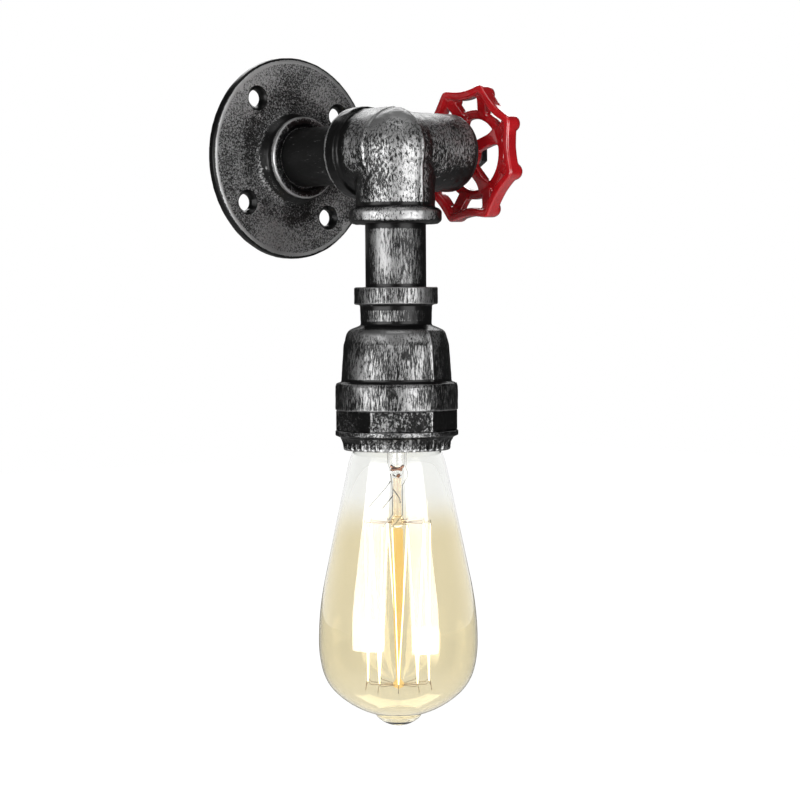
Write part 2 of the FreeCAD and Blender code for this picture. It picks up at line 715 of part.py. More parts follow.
def valve_stem():
    body = new_body("valve_stem", "side")
    collar = "side_arm - screw_depth - stem_gap"
    end = "hub_far + washer_thick + nut_height + 0.6"
    turned(body, "stem", [
        ("0", f"{collar} - stem_collar"),
        ("stem_collar_radius", f"{collar} - stem_collar"),
        ("stem_collar_radius", collar),
        ("stem_radius", collar),
        ("stem_radius", "hub_near"),
        ("stem_thread_radius", "hub_near"),
        ("stem_thread_radius", f"{end} - 0.6"),
        ("stem_thread_radius - 0.6", end),
        ("0", end),
    ])


def lobed_ring():
    """Outer rim of the wheel: a hollow side from lobe to lobe, with its inner side parallel."""
    lobes = SIZES["lobes"]
    outer, inner = [], []
    for index in range(lobes):
        angle = index * 360 / lobes
        for line, radius, hollow in ((outer, "wheel_radius", "scallop_radius"),
                                     (inner, "(wheel_radius - rim_wall)",
                                      "(scallop_radius + rim_wall)")):
            line.append((f"{radius}*cos({angle})", f"{radius}*sin({angle})", f"-{hollow}"))
    return outer, inner


def handwheel():
    body = new_body("handwheel", "side", spin="wheel_turn")
    sketch = new_sketch(body, "rim_outline", "XY_Plane", "wheel_near")
    for line in lobed_ring():
        draw(sketch, line)
    rim = body.newObject("PartDesign::Pad", "rim")
    rim.Profile = sketch
    tie(rim, "Length", "rim_depth")
    document.recompute()
    turned(body, "inner_ring", [
        ("ring_inner", "ring_near + 0.8"),
        ("ring_inner + 0.8", "ring_near"),
        ("ring_outer - 0.8", "ring_near"),
        ("ring_outer", "ring_near + 0.8"),
        ("ring_outer", "wheel_far - 0.8"),
        ("ring_outer - 0.8", "wheel_far"),
        ("ring_inner + 0.8", "wheel_far"),
        ("ring_inner", "wheel_far - 0.8"),
    ])
    arm = padded(body, "arm", [
        ("ring_outer - 1.5", "wheel_far - 0.5 - arm_thick"),
        ("wheel_radius - rim_wall/2", "wheel_near + 0.6"),
        ("wheel_radius - rim_wall/2", "wheel_near + 0.6 + arm_thick"),
        ("ring_outer - 1.5", "wheel_far - 0.5"),
    ], "XZ_Plane", length="arm_width", middle=True)
    lobe_centre = "wheel_radius - lobe_radius"
    lobe = round_pad(body, "lobe", (lobe_centre, "0", "lobe_radius"), "lobe_start",
                     "lobe_reach - lobe_radius - lobe_start")
    dome = ball(body, "lobe_dome", lobe_centre, "lobe_reach - lobe_radius", "lobe_radius")
    repeated(body, "arms_and_lobes", [arm, lobe, dome], "lobes")
    turned(body, "hub", [
        ("0", "hub_near"),
        ("hub_size - 0.8", "hub_near"),
        ("hub_size", "hub_near + 0.8"),
        ("hub_size", "hub_far - 0.8"),
        ("hub_size - 0.8", "hub_far"),
        ("0", "hub_far"),
    ])
    spoke = padded(body, "spoke", [
        ("2", "hub_near + spoke_step"),
        ("ring_inner + 0.6", "ring_near + 0.2"),
        ("ring_inner + 0.6", "ring_near + 0.2 + spoke_thick"),
        ("2", "hub_near + spoke_step + spoke_thick"),
    ], "XZ_Plane", length="spoke_width", middle=True)
    repeated(body, "spokes", [spoke], "spokes")
    holed(body, "stem_hole", [("0", "0", "stem_thread_radius")], "wheel_far", "20")


def wheel_fasteners():
    washer = new_body("wheel_washer", "side")
    washer_end = "hub_far + washer_thick"
    turned(washer, "disc", [
        ("stem_thread_radius", "hub_far"),
        ("washer_radius", "hub_far"),
        ("washer_radius", washer_end),
        ("stem_thread_radius", washer_end),
    ])
    nut = new_body("wheel_nut", "side")
    padded(nut, "hexagon", hexagon("nut_flats/2/cos(30)"), lift=washer_end, length="nut_height")
    holed(nut, "thread", [("0", "0", "stem_thread_radius")], f"{washer_end} + nut_height", "nut_height")


def glass_line(inset):
    """Half outline of the bulb's glass from its neck to the tip, moved in by inset."""
    def point(radius, height, lean, bend=None):
        place_text = (f"{radius} - {inset}*cos({lean})",
                      f"-{LAMP_TIP} + {height} + {inset}*sin({lean})")
        return place_text if bend is None else (*place_text, bend)
    return [
        point(NECK, "(bulb_length - cap_length + 3)", 0),
        point(NECK, "(bulb_length - cap_length - 0.6)", 0),
        point("glass_throat", "throat_height", -44, f"-(20.3 - {inset})"),
        point("glass_shoulder", "shoulder_height", -12),
        point("glass_flank", "flank_height", -12, f"-(120 - {inset})"),
        point("bulb_radius", "equator_height", 0, f"-(44 - {inset})"),
        point("glass_haunch", "haunch_height", 14.5, f"-(20 - {inset})"),
        point("glass_base", "base_height", 47.3, f"-(36.6 - {inset})"),
        point("tip_radius", "tip_height", 75.3),
    ]


def bulb_glass():
    body = new_body("bulb_glass")
    outer, inner = glass_line("0"), glass_line("glass_wall")
    tip = f"-{LAMP_TIP}"
    turned(body, "bulb", [
        *outer,
        ("tip_radius - 0.6", f"{tip} + 3.1", "-13.7"),
        ("0", tip),
        ("0", f"{tip} + glass_wall*3"),
        ("tip_radius - 2.4", f"{tip} + tip_height + 0.2"),
        *[(item[0], item[1], inner[index - 1][2].lstrip("-")) if len(inner[index - 1]) == 3
          else item[:2] for index, item in reversed(list(enumerate(inner)))],
    ])


def bulb_cap():
    body = new_body("bulb_cap")
    start = "(contact_top + button_height + insulator_height)"
    wide = f"{start} + cap_cone"
    rim = "(contact_top + cap_length)"
    turned(body, "shell", [
        ("insulator_radius", f"-{start}"),
        ("cap_radius", f"-({wide})"),
        ("cap_radius", f"-{rim}"),
        ("cap_radius - cap_wall", f"-{rim}"),
        ("cap_radius - cap_wall", f"-({wide})"),
        ("insulator_radius", f"-{start} - cap_wall*2"),
    ])
    glass = new_body("bulb_cap_insulator")
    turned(glass, "glass", [
        ("button_radius", f"-{start}"),
        ("button_radius", "-contact_top - button_height"),
        ("insulator_radius", f"-{start} + 0.4"),
        ("insulator_radius", f"-{start} - cap_wall*2"),
        ("0", f"-{start} - cap_wall*2"),
        ("0", f"-{start}"),
    ])
    button = new_body("bulb_contact_button")
    dome = "((button_radius^2 + button_height^2)/(2*button_height))"
    turned(button, "button", [
        ("0", f"-{start}"),
        ("button_radius", f"-{start}"),
        ("button_radius", "-contact_top - button_height", dome),
        ("0", "-contact_top"),
    ])


def bulb_stem():
    """Hollow glass flare that is sealed into the neck and ends in a flat pinch."""
    body = new_body("bulb_stem")
    neck = "(bulb_length - cap_length)"
    seal = f"{NECK} - glass_wall"
    tip = f"-{LAMP_TIP}"
    turned(body, "flare", [
        (seal, f"{tip} + {neck} + 1.8"),
        (seal, f"{tip} + {neck} + 0.8"),
        ("stem_tube + 1.2", f"{tip} + {neck} - 3"),
        ("stem_tube", f"{tip} + {neck} - 6"),
        ("stem_tube", f"{tip} + stem_tube_end"),
        ("0", f"{tip} + stem_tube_end"),
        ("0", f"{tip} + stem_tube_end + 1"),
        ("stem_tube - 0.8", f"{tip} + stem_tube_end + 1"),
        ("stem_tube - 0.8", f"{tip} + {neck} - 6"),
        ("stem_tube + 0.4", f"{tip} + {neck} - 2.4"),
    ])
    padded(body, "pinch", [
        ("-pinch_width/2", "-pinch_thick/2"),
        ("pinch_width/2", "-pinch_thick/2"),
        ("pinch_width/2", "pinch_thick/2"),
        ("-pinch_width/2", "pinch_thick/2"),
    ], lift=f"{tip} + pinch_end", length="stem_tube_end - pinch_end")


def bulb_rod():
    """Glass rod under the pinch, with a bead for the upper wires and one for the lower."""
    body = new_body("bulb_rod")
    tip = f"-{LAMP_TIP}"
    foot_top = f"{tip} + foot_height + foot_radius"
    turned(body, "rod", [
        ("0", f"{tip} + foot_height - foot_radius"),
        ("foot_radius", f"{tip} + foot_height - 0.6"),
        ("foot_radius", f"{tip} + foot_height + 0.6"),
        ("rod_radius", foot_top),
        ("rod_radius", f"{tip} + bead_height - bead_radius"),
        ("bead_radius", f"{tip} + bead_height - 0.9"),
        ("bead_radius", f"{tip} + bead_height + 0.9"),
        ("rod_radius", f"{tip} + bead_height + bead_radius"),
        ("rod_radius", f"{tip} + pinch_end"),
        ("0", f"{tip} + pinch_end"),
    ])


def wire(points, radius):
    """Round wire along straight runs, with a ball at each corner."""
    solid = None
    for start, end in zip(points, points[1:]):
        run = Part.makeCylinder(radius, (end - start).Length, start, end - start)
        solid = run if solid is None else solid.fuse(run)
        if end is not points[-1]:
            solid = solid.fuse(Part.makeSphere(radius, end))
    return solid


def on_circle(radius, height, turn):
    angle = math.radians(turn)
    return Vector(radius * math.cos(angle), radius * math.sin(angle), height)


def bulb_wires():
    """Support wires, lead-in wires and the filament that zigzags between the supports."""
    offset = Vector(0, -number("lamp_offset"), 0)
    tip = -number(LAMP_TIP)
    upper, lower = tip + number("bead_height"), tip + number("foot_height")
    thin, glow = number("support_radius"), number("filament_radius")
    upper_reach, lower_reach = number("upper_reach"), number("lower_reach")
    lower_count = int(number("lower_count"))
    upper_count = int(number("upper_count"))
    step = 360 / lower_count
    first = -131.35
    rows = (("upper_supports", upper, upper_reach - glow, "bead_radius", upper_count, 0.5),
            ("lower_supports", lower, lower_reach - glow, "foot_radius", lower_count, 0))
    for name, height, reach, root, count, shift in rows:
        spokes = []
        for index in range(count):
            turn = first + (index + shift) * step
            start = on_circle(number(root), height, turn)
            spokes.append(wire([start, on_circle(reach, height, turn)], thin))
        shaped(name, Part.makeCompound(spokes), offset)
    corners = [on_circle(upper_reach, upper, first - step / 2)]
    for index in range(lower_count):
        corners.append(on_circle(lower_reach, lower, first + index * step))
        corners.append(on_circle(upper_reach, upper, first + (index + 0.5) * step))
    corners[-1] = on_circle(upper_reach, upper - 1.5, first - step / 2 - 9)
    corners[0] = on_circle(upper_reach, upper - 1.5, first - step / 2 + 9)
    shaped("filament", wire(corners, glow), offset)
    pinch = tip + number("pinch_end")
    entries = []
    for side, target in ((-1, corners[-1]), (1, corners[0])):
        start = Vector(side * number("pinch_width") * 0.35, 0, pinch - thin / 3)
        knee = Vector(side * number("pinch_width") * 0.5, 0, pinch - 4)
        end = target + Vector(0, 0, 2 * glow)
        entries.append(wire([start, knee, end, target], thin))
    shaped("lead_in_wires", Part.makeCompound(entries), offset)


def build():
    wall_flange()
    pipe("wall_nipple", "wall", "bush_recess + bush_thick", "lamp_offset - wall_arm + screw_depth")
    wire_bush()
    corner_elbow()
    pipe("drop_nipple", "lamp", "-bell_top - screw_depth - 1", "-down_arm + screw_depth")
    bell_reducer()
    hex_bushing()
    lamp_ring()
    lampholder_body()
    screw_shell()
    neutral_terminal()
    live_terminal()
    contact_rivet()
    centre_contact()
    screws()
    earth_lug()
    leads()
    port_plug()
    valve_stem()
    handwheel()
    wheel_fasteners()
    bulb_glass()
    bulb_cap()
    bulb_stem()
    bulb_rod()
    bulb_wires()


def check():
    """Every object is up to date and every sub-part has a valid shape."""
    document.recompute()
    for item in document.Objects:
        assert not {"Invalid", "Error"} & set(item.State), f"{item.Name}: {item.State}"
    for part in PARTS:
        shape = part.Shape
        assert not shape.isNull() and shape.isValid(), f"{part.Label} has no valid shape"
        print(part.Label, len(shape.Solids), round(shape.Volume, 1))


build()
check()
os.makedirs("parts", exist_ok=True)
for part in PARTS:
    part.Shape.exportStep(f"parts/{part.Label}.step")
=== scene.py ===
"""Looks of the industrial pipe wall light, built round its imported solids.

Sizes are in millimetres in the row frame: the wall is the plane y = 0, +Z is up, and
the lamp hangs on the axis x = 0, y = -LAMP.  MM turns them into Blender's metres.
"""

import math

import bmesh
import bpy
from mathutils import Matrix, Vector, noise


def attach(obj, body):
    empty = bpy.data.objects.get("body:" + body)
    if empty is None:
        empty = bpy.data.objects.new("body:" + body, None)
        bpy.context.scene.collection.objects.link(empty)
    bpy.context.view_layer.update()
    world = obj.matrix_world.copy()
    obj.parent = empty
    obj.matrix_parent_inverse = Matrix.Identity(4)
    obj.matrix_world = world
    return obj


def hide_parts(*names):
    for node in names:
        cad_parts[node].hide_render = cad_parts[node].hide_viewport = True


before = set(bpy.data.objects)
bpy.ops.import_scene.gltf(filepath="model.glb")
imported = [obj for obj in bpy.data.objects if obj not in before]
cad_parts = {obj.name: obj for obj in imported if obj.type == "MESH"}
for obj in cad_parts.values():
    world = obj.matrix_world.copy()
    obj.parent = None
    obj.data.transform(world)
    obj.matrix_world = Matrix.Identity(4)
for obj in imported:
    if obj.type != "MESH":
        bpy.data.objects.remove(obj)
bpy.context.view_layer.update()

MM = 0.001
FIXTURE, WHEEL, BULB = "fixture", "wheel", "bulb"

# Distance of the lamp from the wall, radii of the pipe and of the passage between the
# pipes, and how far a pipe is screwed in.  The arms end at distances from the corner
# fitting's centre, and all that hangs below it at heights from there.
LAMP = 68.34
PIPE, BORE, PASSAGE = 12.2, 9.9, 10.6
SCREWED = 11.0
WALL_ARM, SIDE_ARM, DOWN_ARM = 22.5, 30.56, -29.24
DROP_TOP, DROP_END = DOWN_ARM + SCREWED, -66.52
BELL_TOP, BELL_END = -54.52, -103.67
HEX_END, RING_END = -111.84, -119.68
TIP = -231.12

# The flange's holes: radii of their circle, of a hole and of its countersink.
HOLE_CIRCLE, HOLE, SINK = 30.8, 3.5, 5.1
HOLE_TURNS = [math.radians(37.5 + 90 * index) for index in range(4)]

ON_LAMP = Matrix.Translation((0, -LAMP, 0))
ON_WALL = Matrix.Rotation(math.pi / 2, 4, "X")
ON_SIDE = ON_LAMP @ Matrix.Rotation(math.pi / 2, 4, "Y")


# ---------------------------------------------------------------- outlines and meshes

def rounded(corners, steps=5):
    """Corners (r, z) or (r, z, fillet): each fillet becomes an arc of a few points."""
    line = []
    count = len(corners)
    for index, corner in enumerate(corners):
        here = Vector(corner[:2])
        fillet = corner[2] if len(corner) == 3 else 0
        before = Vector(corners[index - 1][:2]) - here
        after = Vector(corners[(index + 1) % count][:2]) - here
        if not fillet:
            line.append(here)
            continue
        angle = before.angle(after)
        reach = min(fillet / math.tan(angle / 2), before.length * 0.49, after.length * 0.49)
        start, end = here + before.normalized() * reach, here + after.normalized() * reach
        for step in range(steps + 1):
            share = step / steps
            line.append(start * (1 - share) ** 2 + here * 2 * share * (1 - share)
                        + end * share ** 2)
    return line


def split_long(line, longest):
    """The closed line with its long runs divided, so that a surface can be shaped."""
    dense = []
    for index, here in enumerate(line):
        following = line[(index + 1) % len(line)]
        parts = max(1, math.ceil((following - here).length / longest))
        dense.extend(here.lerp(following, part / parts) for part in range(parts))
    return dense


def lathe(line, sides=128, change=None):
    """A closed line (r, z) turned about Z, as vertices and faces; change(vert) moves one."""
    verts, faces, rings = [], [], []
    for radius, height in line:
        if radius < 1e-6:
            verts.append(Vector((0, 0, height)))
            rings.append([len(verts) - 1] * sides)
            continue
        first = len(verts)
        for side in range(sides):
            angle = 2 * math.pi * side / sides
            verts.append(Vector((radius * math.cos(angle), radius * math.sin(angle), height)))
        rings.append(list(range(first, first + sides)))
    for lower, upper in zip(rings, rings[1:] + rings[:1]):
        for side in range(sides):
            after = (side + 1) % sides
            corners = [lower[side], lower[after], upper[after], upper[side]]
            face = list(dict.fromkeys(corners))
            if len(face) > 2:
                faces.append(face)
    if change:
        verts = [change(vert) for vert in verts]
    return verts, faces


def belts(count, sides, closed=False):
    """Four-sided faces between each section of a sweep and the next."""
    faces = []
    for index in range(count if closed else count - 1):
        here, following = index * sides, (index + 1) % count * sides
        for side in range(sides):
            after = (side + 1) % sides
            faces.append([here + side, here + after, following + after, following + side])
    return faces


def tube(path, radius, sides=8):
    """A round closed-ended tube along points."""
    verts = []
    normal = None
    for index, point in enumerate(path):
        before, after = path[max(index - 1, 0)], path[min(index + 1, len(path) - 1)]
        along = (after - before).normalized()
        if normal is None:
            normal = along.orthogonal().normalized()
        normal = (normal - along * normal.dot(along)).normalized()
        across = along.cross(normal)
        for side in range(sides):
            angle = 2 * math.pi * side / sides
            verts.append(point + (normal * math.cos(angle) + across * math.sin(angle)) * radius)
    last = (len(path) - 1) * sides
    ends = [list(range(sides))[::-1], list(range(last, last + sides))]
    return verts, belts(len(path), sides) + ends


def ball(centre, radius, stretch=(1, 1, 1), detail=3):
    shape = bmesh.new()
    bmesh.ops.create_icosphere(shape, subdivisions=detail, radius=radius)
    verts = [Vector(v.co[i] * stretch[i] for i in range(3)) + centre for v in shape.verts]
    faces = [[v.index for v in face.verts] for face in shape.faces]
    shape.free()
    return verts, faces


def prism(corners, low, high):
    """A closed prism: corners (x, y) between two heights."""
    count = len(corners)
    verts = [Vector((x, y, z)) for z in (low, high) for x, y in corners]
    ends = [list(range(count))[::-1], list(range(count, 2 * count))]
    return verts, ends + belts(2, count)


def joined(*shapes):
    verts, faces = [], []
    for more_verts, more_faces in shapes:
        first = len(verts)
        verts.extend(more_verts)
        faces.extend([first + index for index in face] for face in more_faces)
    return verts, faces


def moved(shape, matrix):
    verts, faces = shape
    return [matrix @ vert for vert in verts], faces


def soft_least(first, second, blend):
    """The smaller of two values, rounded where they meet."""
    share = max(blend - abs(first - second), 0) / blend
    return min(first, second) - share * share * blend / 4


def on_circle(radius, height, turn):
    angle = math.radians(turn)
    return Vector((radius * math.cos(angle), radius * math.sin(angle), height))


# ---------------------------------------------------------------- pieces

def linked(name, data):
    """A new object in the scene."""
    thing = bpy.data.objects.new(name, data)
    bpy.context.scene.collection.objects.link(thing)
    return thing


def solid(name, shape, weld=False):
    """An object from a shape in millimetres, its faces turned outwards."""
    verts, faces = shape
    mesh = bpy.data.meshes.new(name)
    mesh.from_pydata([vert * MM for vert in verts], [], faces)
    mesh.validate()
    fresh = bmesh.new()
    fresh.from_mesh(mesh)
    if weld:
        bmesh.ops.remove_doubles(fresh, verts=fresh.verts, dist=1e-7)
    bmesh.ops.recalc_face_normals(fresh, faces=fresh.faces)
    fresh.to_mesh(mesh)
    fresh.free()
    return linked(name, mesh)


def piece(name, shape, matrix, material, body, replaces=(), crease=35):
    """A mesh piece in the row frame that rides on a body and may stand for CAD nodes."""
    thing = solid(name, moved(shape, matrix), weld=True)
    finish_piece(thing, material, body, replaces, crease)
    return thing


def finish_piece(thing, material, body, replaces, crease):
    smooth(thing, crease)
    thing.data.materials.clear()
    thing.data.materials.append(material)
    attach(thing, body)
    for node in replaces:
        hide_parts(node)


def smooth(thing, crease):
    for polygon in thing.data.polygons:
        polygon.use_smooth = True
    thing.data.set_sharp_from_angle(angle=math.radians(crease))


def applied(thing, kind, **settings):
    """Adds a modifier, takes its result into the mesh and removes it."""
    modifier = thing.modifiers.new(kind.lower(), kind)
    for key, value in settings.items():
        setattr(modifier, key, value)
    bpy.context.view_layer.update()
    evaluated = thing.evaluated_get(bpy.context.evaluated_depsgraph_get())
    mesh = bpy.data.meshes.new_from_object(evaluated)
    thing.modifiers.remove(modifier)
    old = thing.data
    thing.data = mesh
    bpy.data.meshes.remove(old)


def cast(name, shapes, rounds, voxel=0.4):
    """Shapes melted into one casting: its inner corners fill and its edges wear round."""
    verts, faces = joined(*shapes)
    mesh = bpy.data.meshes.new(name)
    mesh.from_pydata([vert * MM for vert in verts], [], faces)
    thing = linked(name, mesh)
    applied(thing, "REMESH", mode="VOXEL", voxel_size=voxel * MM, adaptivity=0)
    applied(thing, "SMOOTH", factor=0.5, iterations=rounds)
    return thing


def cut(thing, shape, matrix):
    """Cuts a closed shape out of a piece."""
    cutter = solid("cutter", moved(shape, matrix))
    applied(thing, "BOOLEAN", operation="DIFFERENCE", solver="EXACT", object=cutter)
    bpy.data.objects.remove(cutter)


def lifted(thing, lift):
    """Moves each point along its normal by lift(point), both in millimetres."""
    mesh = thing.data
    points = [vert.co.copy() / MM for vert in mesh.vertices]
    normals = [vert.normal.copy() for vert in mesh.vertices]
    moved_points = [point + normal * lift(point) for point, normal in zip(points, normals)]
    mesh.vertices.foreach_set("co", [part * MM for point in moved_points for part in point])
    mesh.update()


def lumpy(thing, height, grain, flat_from=math.inf):
    """Lumps of a sand casting, as real shape; from y = flat_from on it keeps flat."""
    lifted(thing, lambda point: height * noise.noise(point / grain) if point.y < flat_from else 0)


# ---------------------------------------------------------------- node trees

class Tree:
    """The node tree of a material, light or world, and short ways to add nodes to it."""

    def __init__(self, owner):
        owner.use_nodes = True
        self.nodes = owner.node_tree.nodes
        self.link = owner.node_tree.links.new

    def node(self, kind, **settings):
        node = self.nodes.new("ShaderNode" + kind)
        for key, value in settings.items():
            setattr(node, key, value)
        return node

    def fill(self, socket, value):
        """Gives a socket a number, or a link where the value is an output."""
        if isinstance(value, (int, float, tuple)):
            socket.default_value = value
        else:
            self.link(value, socket)

    def coordinates(self, stretch=(1, 1, 1)):
        """Object coordinates in millimetres, stretched per axis."""
        scaled = self.node("Mapping")
        scaled.inputs["Scale"].default_value = [share / MM for share in stretch]
        self.link(self.node("TexCoord").outputs["Object"], scaled.inputs["Vector"])
        return scaled.outputs["Vector"]

    def noise(self, vector, scale, detail=4, roughness=0.6):
        texture = self.node("TexNoise")
        texture.inputs["Scale"].default_value = scale
        texture.inputs["Detail"].default_value = detail
        texture.inputs["Roughness"].default_value = roughness
        self.link(vector, texture.inputs["Vector"])
        return texture.outputs["Fac"]

    def ramp(self, value, low, high, from_value=0.0, to_value=1.0):
        """from_value below low and to_value above high, with a smooth rise between."""
        node = self.node("MapRange", interpolation_type="SMOOTHSTEP")
        for name, number in (("From Min", low), ("From Max", high), ("To Min", from_value),
                             ("To Max", to_value)):
            node.inputs[name].default_value = number
        self.link(value, node.inputs["Value"])
        return node.outputs["Result"]

    def maths(self, operation, first, second=0.0):
        node = self.node("Math", operation=operation)
        self.fill(node.inputs[0], first)
        self.fill(node.inputs[1], second)
        return node.outputs[0]

    def chained(self, operation, *values):
        """All the values added up, or the largest of them."""
        result = values[0]
        for value in values[1:]:
            result = self.maths(operation, result, value)
        return result

    def vector_maths(self, operation, vector, constant):
        node = self.node("VectorMath", operation=operation)
        node.inputs[1].default_value = constant
        self.link(vector, node.inputs[0])
        return node.outputs["Value"]

    def split(self, vector):
        parts = self.node("SeparateXYZ")
        self.link(vector, parts.inputs["Vector"])
        return parts.outputs

    def mixed(self, share, first, second):
        """A colour between two colours."""
        node = self.node("Mix", data_type="RGBA")
        self.link(share, node.inputs["Factor"])
        for name, value in (("A", first), ("B", second)):
            socket = next(item for item in node.inputs
                          if item.name == name and item.type == "RGBA")
            socket.default_value = (*value, 1)
        return next(item for item in node.outputs if item.type == "RGBA")


class Paint(Tree):
    """A material with its principled shader."""

    def __init__(self, name):
        self.material = bpy.data.materials.new(name)
        super().__init__(self.material)
        self.shader = self.nodes["Principled BSDF"].inputs
        self.plain = self.coordinates()

    def set(self, name, value):
        self.fill(self.shader[name], value)

    def bumped(self, height, strength, distance):
        bump = self.node("Bump")
        bump.inputs["Strength"].default_value = strength
        bump.inputs["Distance"].default_value = distance * MM
        self.link(height, bump.inputs["Height"])
        self.link(bump.outputs["Normal"], self.shader["Normal"])


# ---------------------------------------------------------------- materials

# Surfaces side-on to this axis, which points towards the camera and a little up, get painted
# shade: the iron goes black there, as if turned from the light.
SIDE_SHADE_AXIS = (-0.64, -0.73, 0.24)
BLACK = (0.004, 0.004, 0.004)
NECK_TINT = (0.93, 0.935, 0.92)
AMBER = (0.85, 0.795, 0.63)
AMBER_FROM, AMBER_TO = -136.0, -156.0
GLASS_IOR, STEM_IOR = 1.6, 1.35


def band(paint, place, axis, centre, half_width):
    """1 at a coordinate of the object, in millimetres, falling to 0 half_width away.

    The axis is X, Y, Z or "wall", which measures out from the flange's own axis."""
    if axis == "wall":
        across = paint.maths("POWER", place["X"], 2)
        upward = paint.maths("POWER", place["Z"], 2)
        value = paint.maths("SQRT", paint.maths("ADD", across, upward))
    else:
        value = place[axis]
    away = paint.maths("ABSOLUTE", paint.maths("SUBTRACT", value, centre))
    return paint.ramp(away, 0.35 * half_width, half_width, 1.0, 0.0)


def rubbed_and_shaded_iron(name, grain=(1, 1, 1), cover=0.5, patch=0.05, edge=1.0, size=1.4, side_shade=0.3,
                bands=(), holes=(), silver=0.36, roughness=0.36, soft=0.045):
    """Black paint with silver brushed over it in specks or strokes, most on edges, and painted
    shade.

    grain stretches the strokes, cover is how much silver there is, patch the scale of
    its uneven areas, edge its weight on sharp edges, side_shade how far flanks side-on to
    the camera's line are painted black as shade, soft how far the two colours blend,
    bands are places (axis, centre, half width, more or less silver) that paint shade into
    grooves and seats, light onto tops and wear onto edges, and holes (x, z, radius) are
    countersinks painted black as shade."""
    paint = Paint(name)
    place = paint.split(paint.plain)
    geometry = paint.node("NewGeometry").outputs
    areas = paint.maths("SUBTRACT", paint.noise(paint.plain, patch, 2, 0.5), 0.5)
    towards = paint.vector_maths("DOT_PRODUCT", geometry["Normal"], SIDE_SHADE_AXIS)
    blunt, sharp = 0.505, 0.56
    side_on, face_on = 0.1, 0.8
    # The last amount is painted shade: flanks side-on to the camera's line lose silver.
    amounts = [paint.noise(paint.coordinates(grain), size, 5, 0.8),
               paint.maths("MULTIPLY", areas, 0.35),
               paint.ramp(geometry["Pointiness"], blunt, sharp, 0, 0.2 * edge),
               paint.ramp(paint.maths("ABSOLUTE", towards), side_on, face_on, -side_shade, 0.0)]
    # Bands take silver away as painted shade in grooves and seats, add it as painted light on
    # tops, and add it as wear on edges.
    for axis, centre, half_width, change in bands:
        share = band(paint, place, axis, centre, half_width)
        amounts.append(paint.maths("MULTIPLY", share, change))
    # Countersinks lose silver as painted shade.
    for x, z, radius in holes:
        flat = paint.node("CombineXYZ")
        for axis in "XZ":
            paint.link(place[axis], flat.inputs[axis])
        away = paint.vector_maths("DISTANCE", flat.outputs["Vector"], (x, 0, z))
        amounts.append(paint.ramp(away, radius - 0.2, radius + 0.2, -0.4, 0))
    middle = 0.62 - 0.24 * cover
    mask = paint.ramp(paint.chained("ADD", *amounts), middle - soft, middle + soft)
    paint.set("Base Color", paint.mixed(mask, BLACK, (silver, silver, silver)))
    paint.set("Metallic", paint.ramp(mask, 0, 1, 0.0, 0.9))
    paint.set("Roughness", paint.ramp(mask, 0, 1, 0.28, roughness))
    paint.set("Specular IOR Level", 0.2)
    lumps = paint.noise(paint.plain, 0.9, 4, 0.6)
    paint.bumped(paint.maths("ADD", lumps, paint.maths("MULTIPLY", mask, 0.3)), 0.5, 0.12)
    return paint.material


def black_paint(name, colour, roughness, flecks=0.0, shine=0.5):
    """Satin black enamel with fine scratches and a few silver flecks."""
    paint = Paint(name)
    fine = paint.noise(paint.coordinates((1, 0.15, 1)), 1.6, 4, 0.7)
    mask = paint.ramp(fine, 0.70 - flecks, 0.78 - flecks)
    paint.set("Base Color", paint.mixed(mask, colour, (0.2, 0.2, 0.2)))
    paint.set("Specular IOR Level", shine)
    uneven = paint.noise(paint.plain, 0.25, 3, 0.6)
    paint.set("Roughness", paint.ramp(uneven, 0.2, 0.8, roughness, roughness + 0.14))
    paint.bumped(paint.noise(paint.plain, 1.3, 3, 0.6), 0.25, 0.08)
    return paint.material


def red_enamel():
    """Thick gloss enamel, a little darker in patches."""
    paint = Paint("red_enamel")
    areas = paint.ramp(paint.noise(paint.plain, 0.08, 3, 0.5), 0.3, 0.7)
    paint.set("Base Color", paint.mixed(areas, (0.33, 0.005, 0.008), (0.46, 0.009, 0.013)))
    rough = paint.noise(paint.plain, 0.6, 2, 0.5)
    paint.set("Roughness", paint.ramp(rough, 0.3, 0.7, 0.14, 0.24))
    paint.set("Coat Weight", 1.0)
    paint.set("Coat Roughness", 0.04)
    paint.bumped(paint.noise(paint.plain, 0.25, 2, 0.5), 0.2, 0.1)
    return paint.material


def plain_metal(name, colour, roughness=0.35, metallic=1.0, relief=0.04, scale=1.5):
    """One colour, a little darker in patches; also plastic and ceramic at metallic 0."""
    paint = Paint(name)
    areas = paint.noise(paint.plain, 0.3, 3, 0.6)
    darker = tuple(0.72 * part for part in colour)
    paint.set("Base Color", paint.mixed(areas, darker, colour))
    paint.set("Metallic", metallic)
    fine = paint.noise(paint.plain, scale, 4, 0.6)
    paint.set("Roughness", paint.ramp(fine, 0.2, 0.8, roughness - 0.08, roughness + 0.1))
    paint.bumped(fine, 0.3, relief)
    return paint.material


def striped_insulation():
    """Green and yellow halves, as an earth lead has."""
    paint = Paint("green_yellow_insulation")
    half = paint.ramp(paint.split(paint.plain)["X"], -0.05, 0.05)
    paint.set("Base Color", paint.mixed(half, (0.03, 0.28, 0.05), (0.8, 0.68, 0.05)))
    paint.set("Roughness", 0.42)
    return paint.material


def tinted_glass():
    """Clear glass at the neck that turns amber down the bulb, as a coating does."""
    paint = Paint("tinted_glass")
    drift = paint.noise(paint.plain, 0.03, 2, 0.5)
    wander = paint.maths("MULTIPLY", paint.maths("SUBTRACT", drift, 0.5), 8)
    height = paint.maths("ADD", paint.split(paint.plain)["Z"], wander)
    share = paint.ramp(height, AMBER_FROM, AMBER_TO)
    paint.set("Base Color", paint.mixed(share, NECK_TINT, AMBER))
    paint.set("Transmission Weight", 1.0)
    paint.set("IOR", GLASS_IOR)
    paint.set("Roughness", 0.0)
    return paint.material


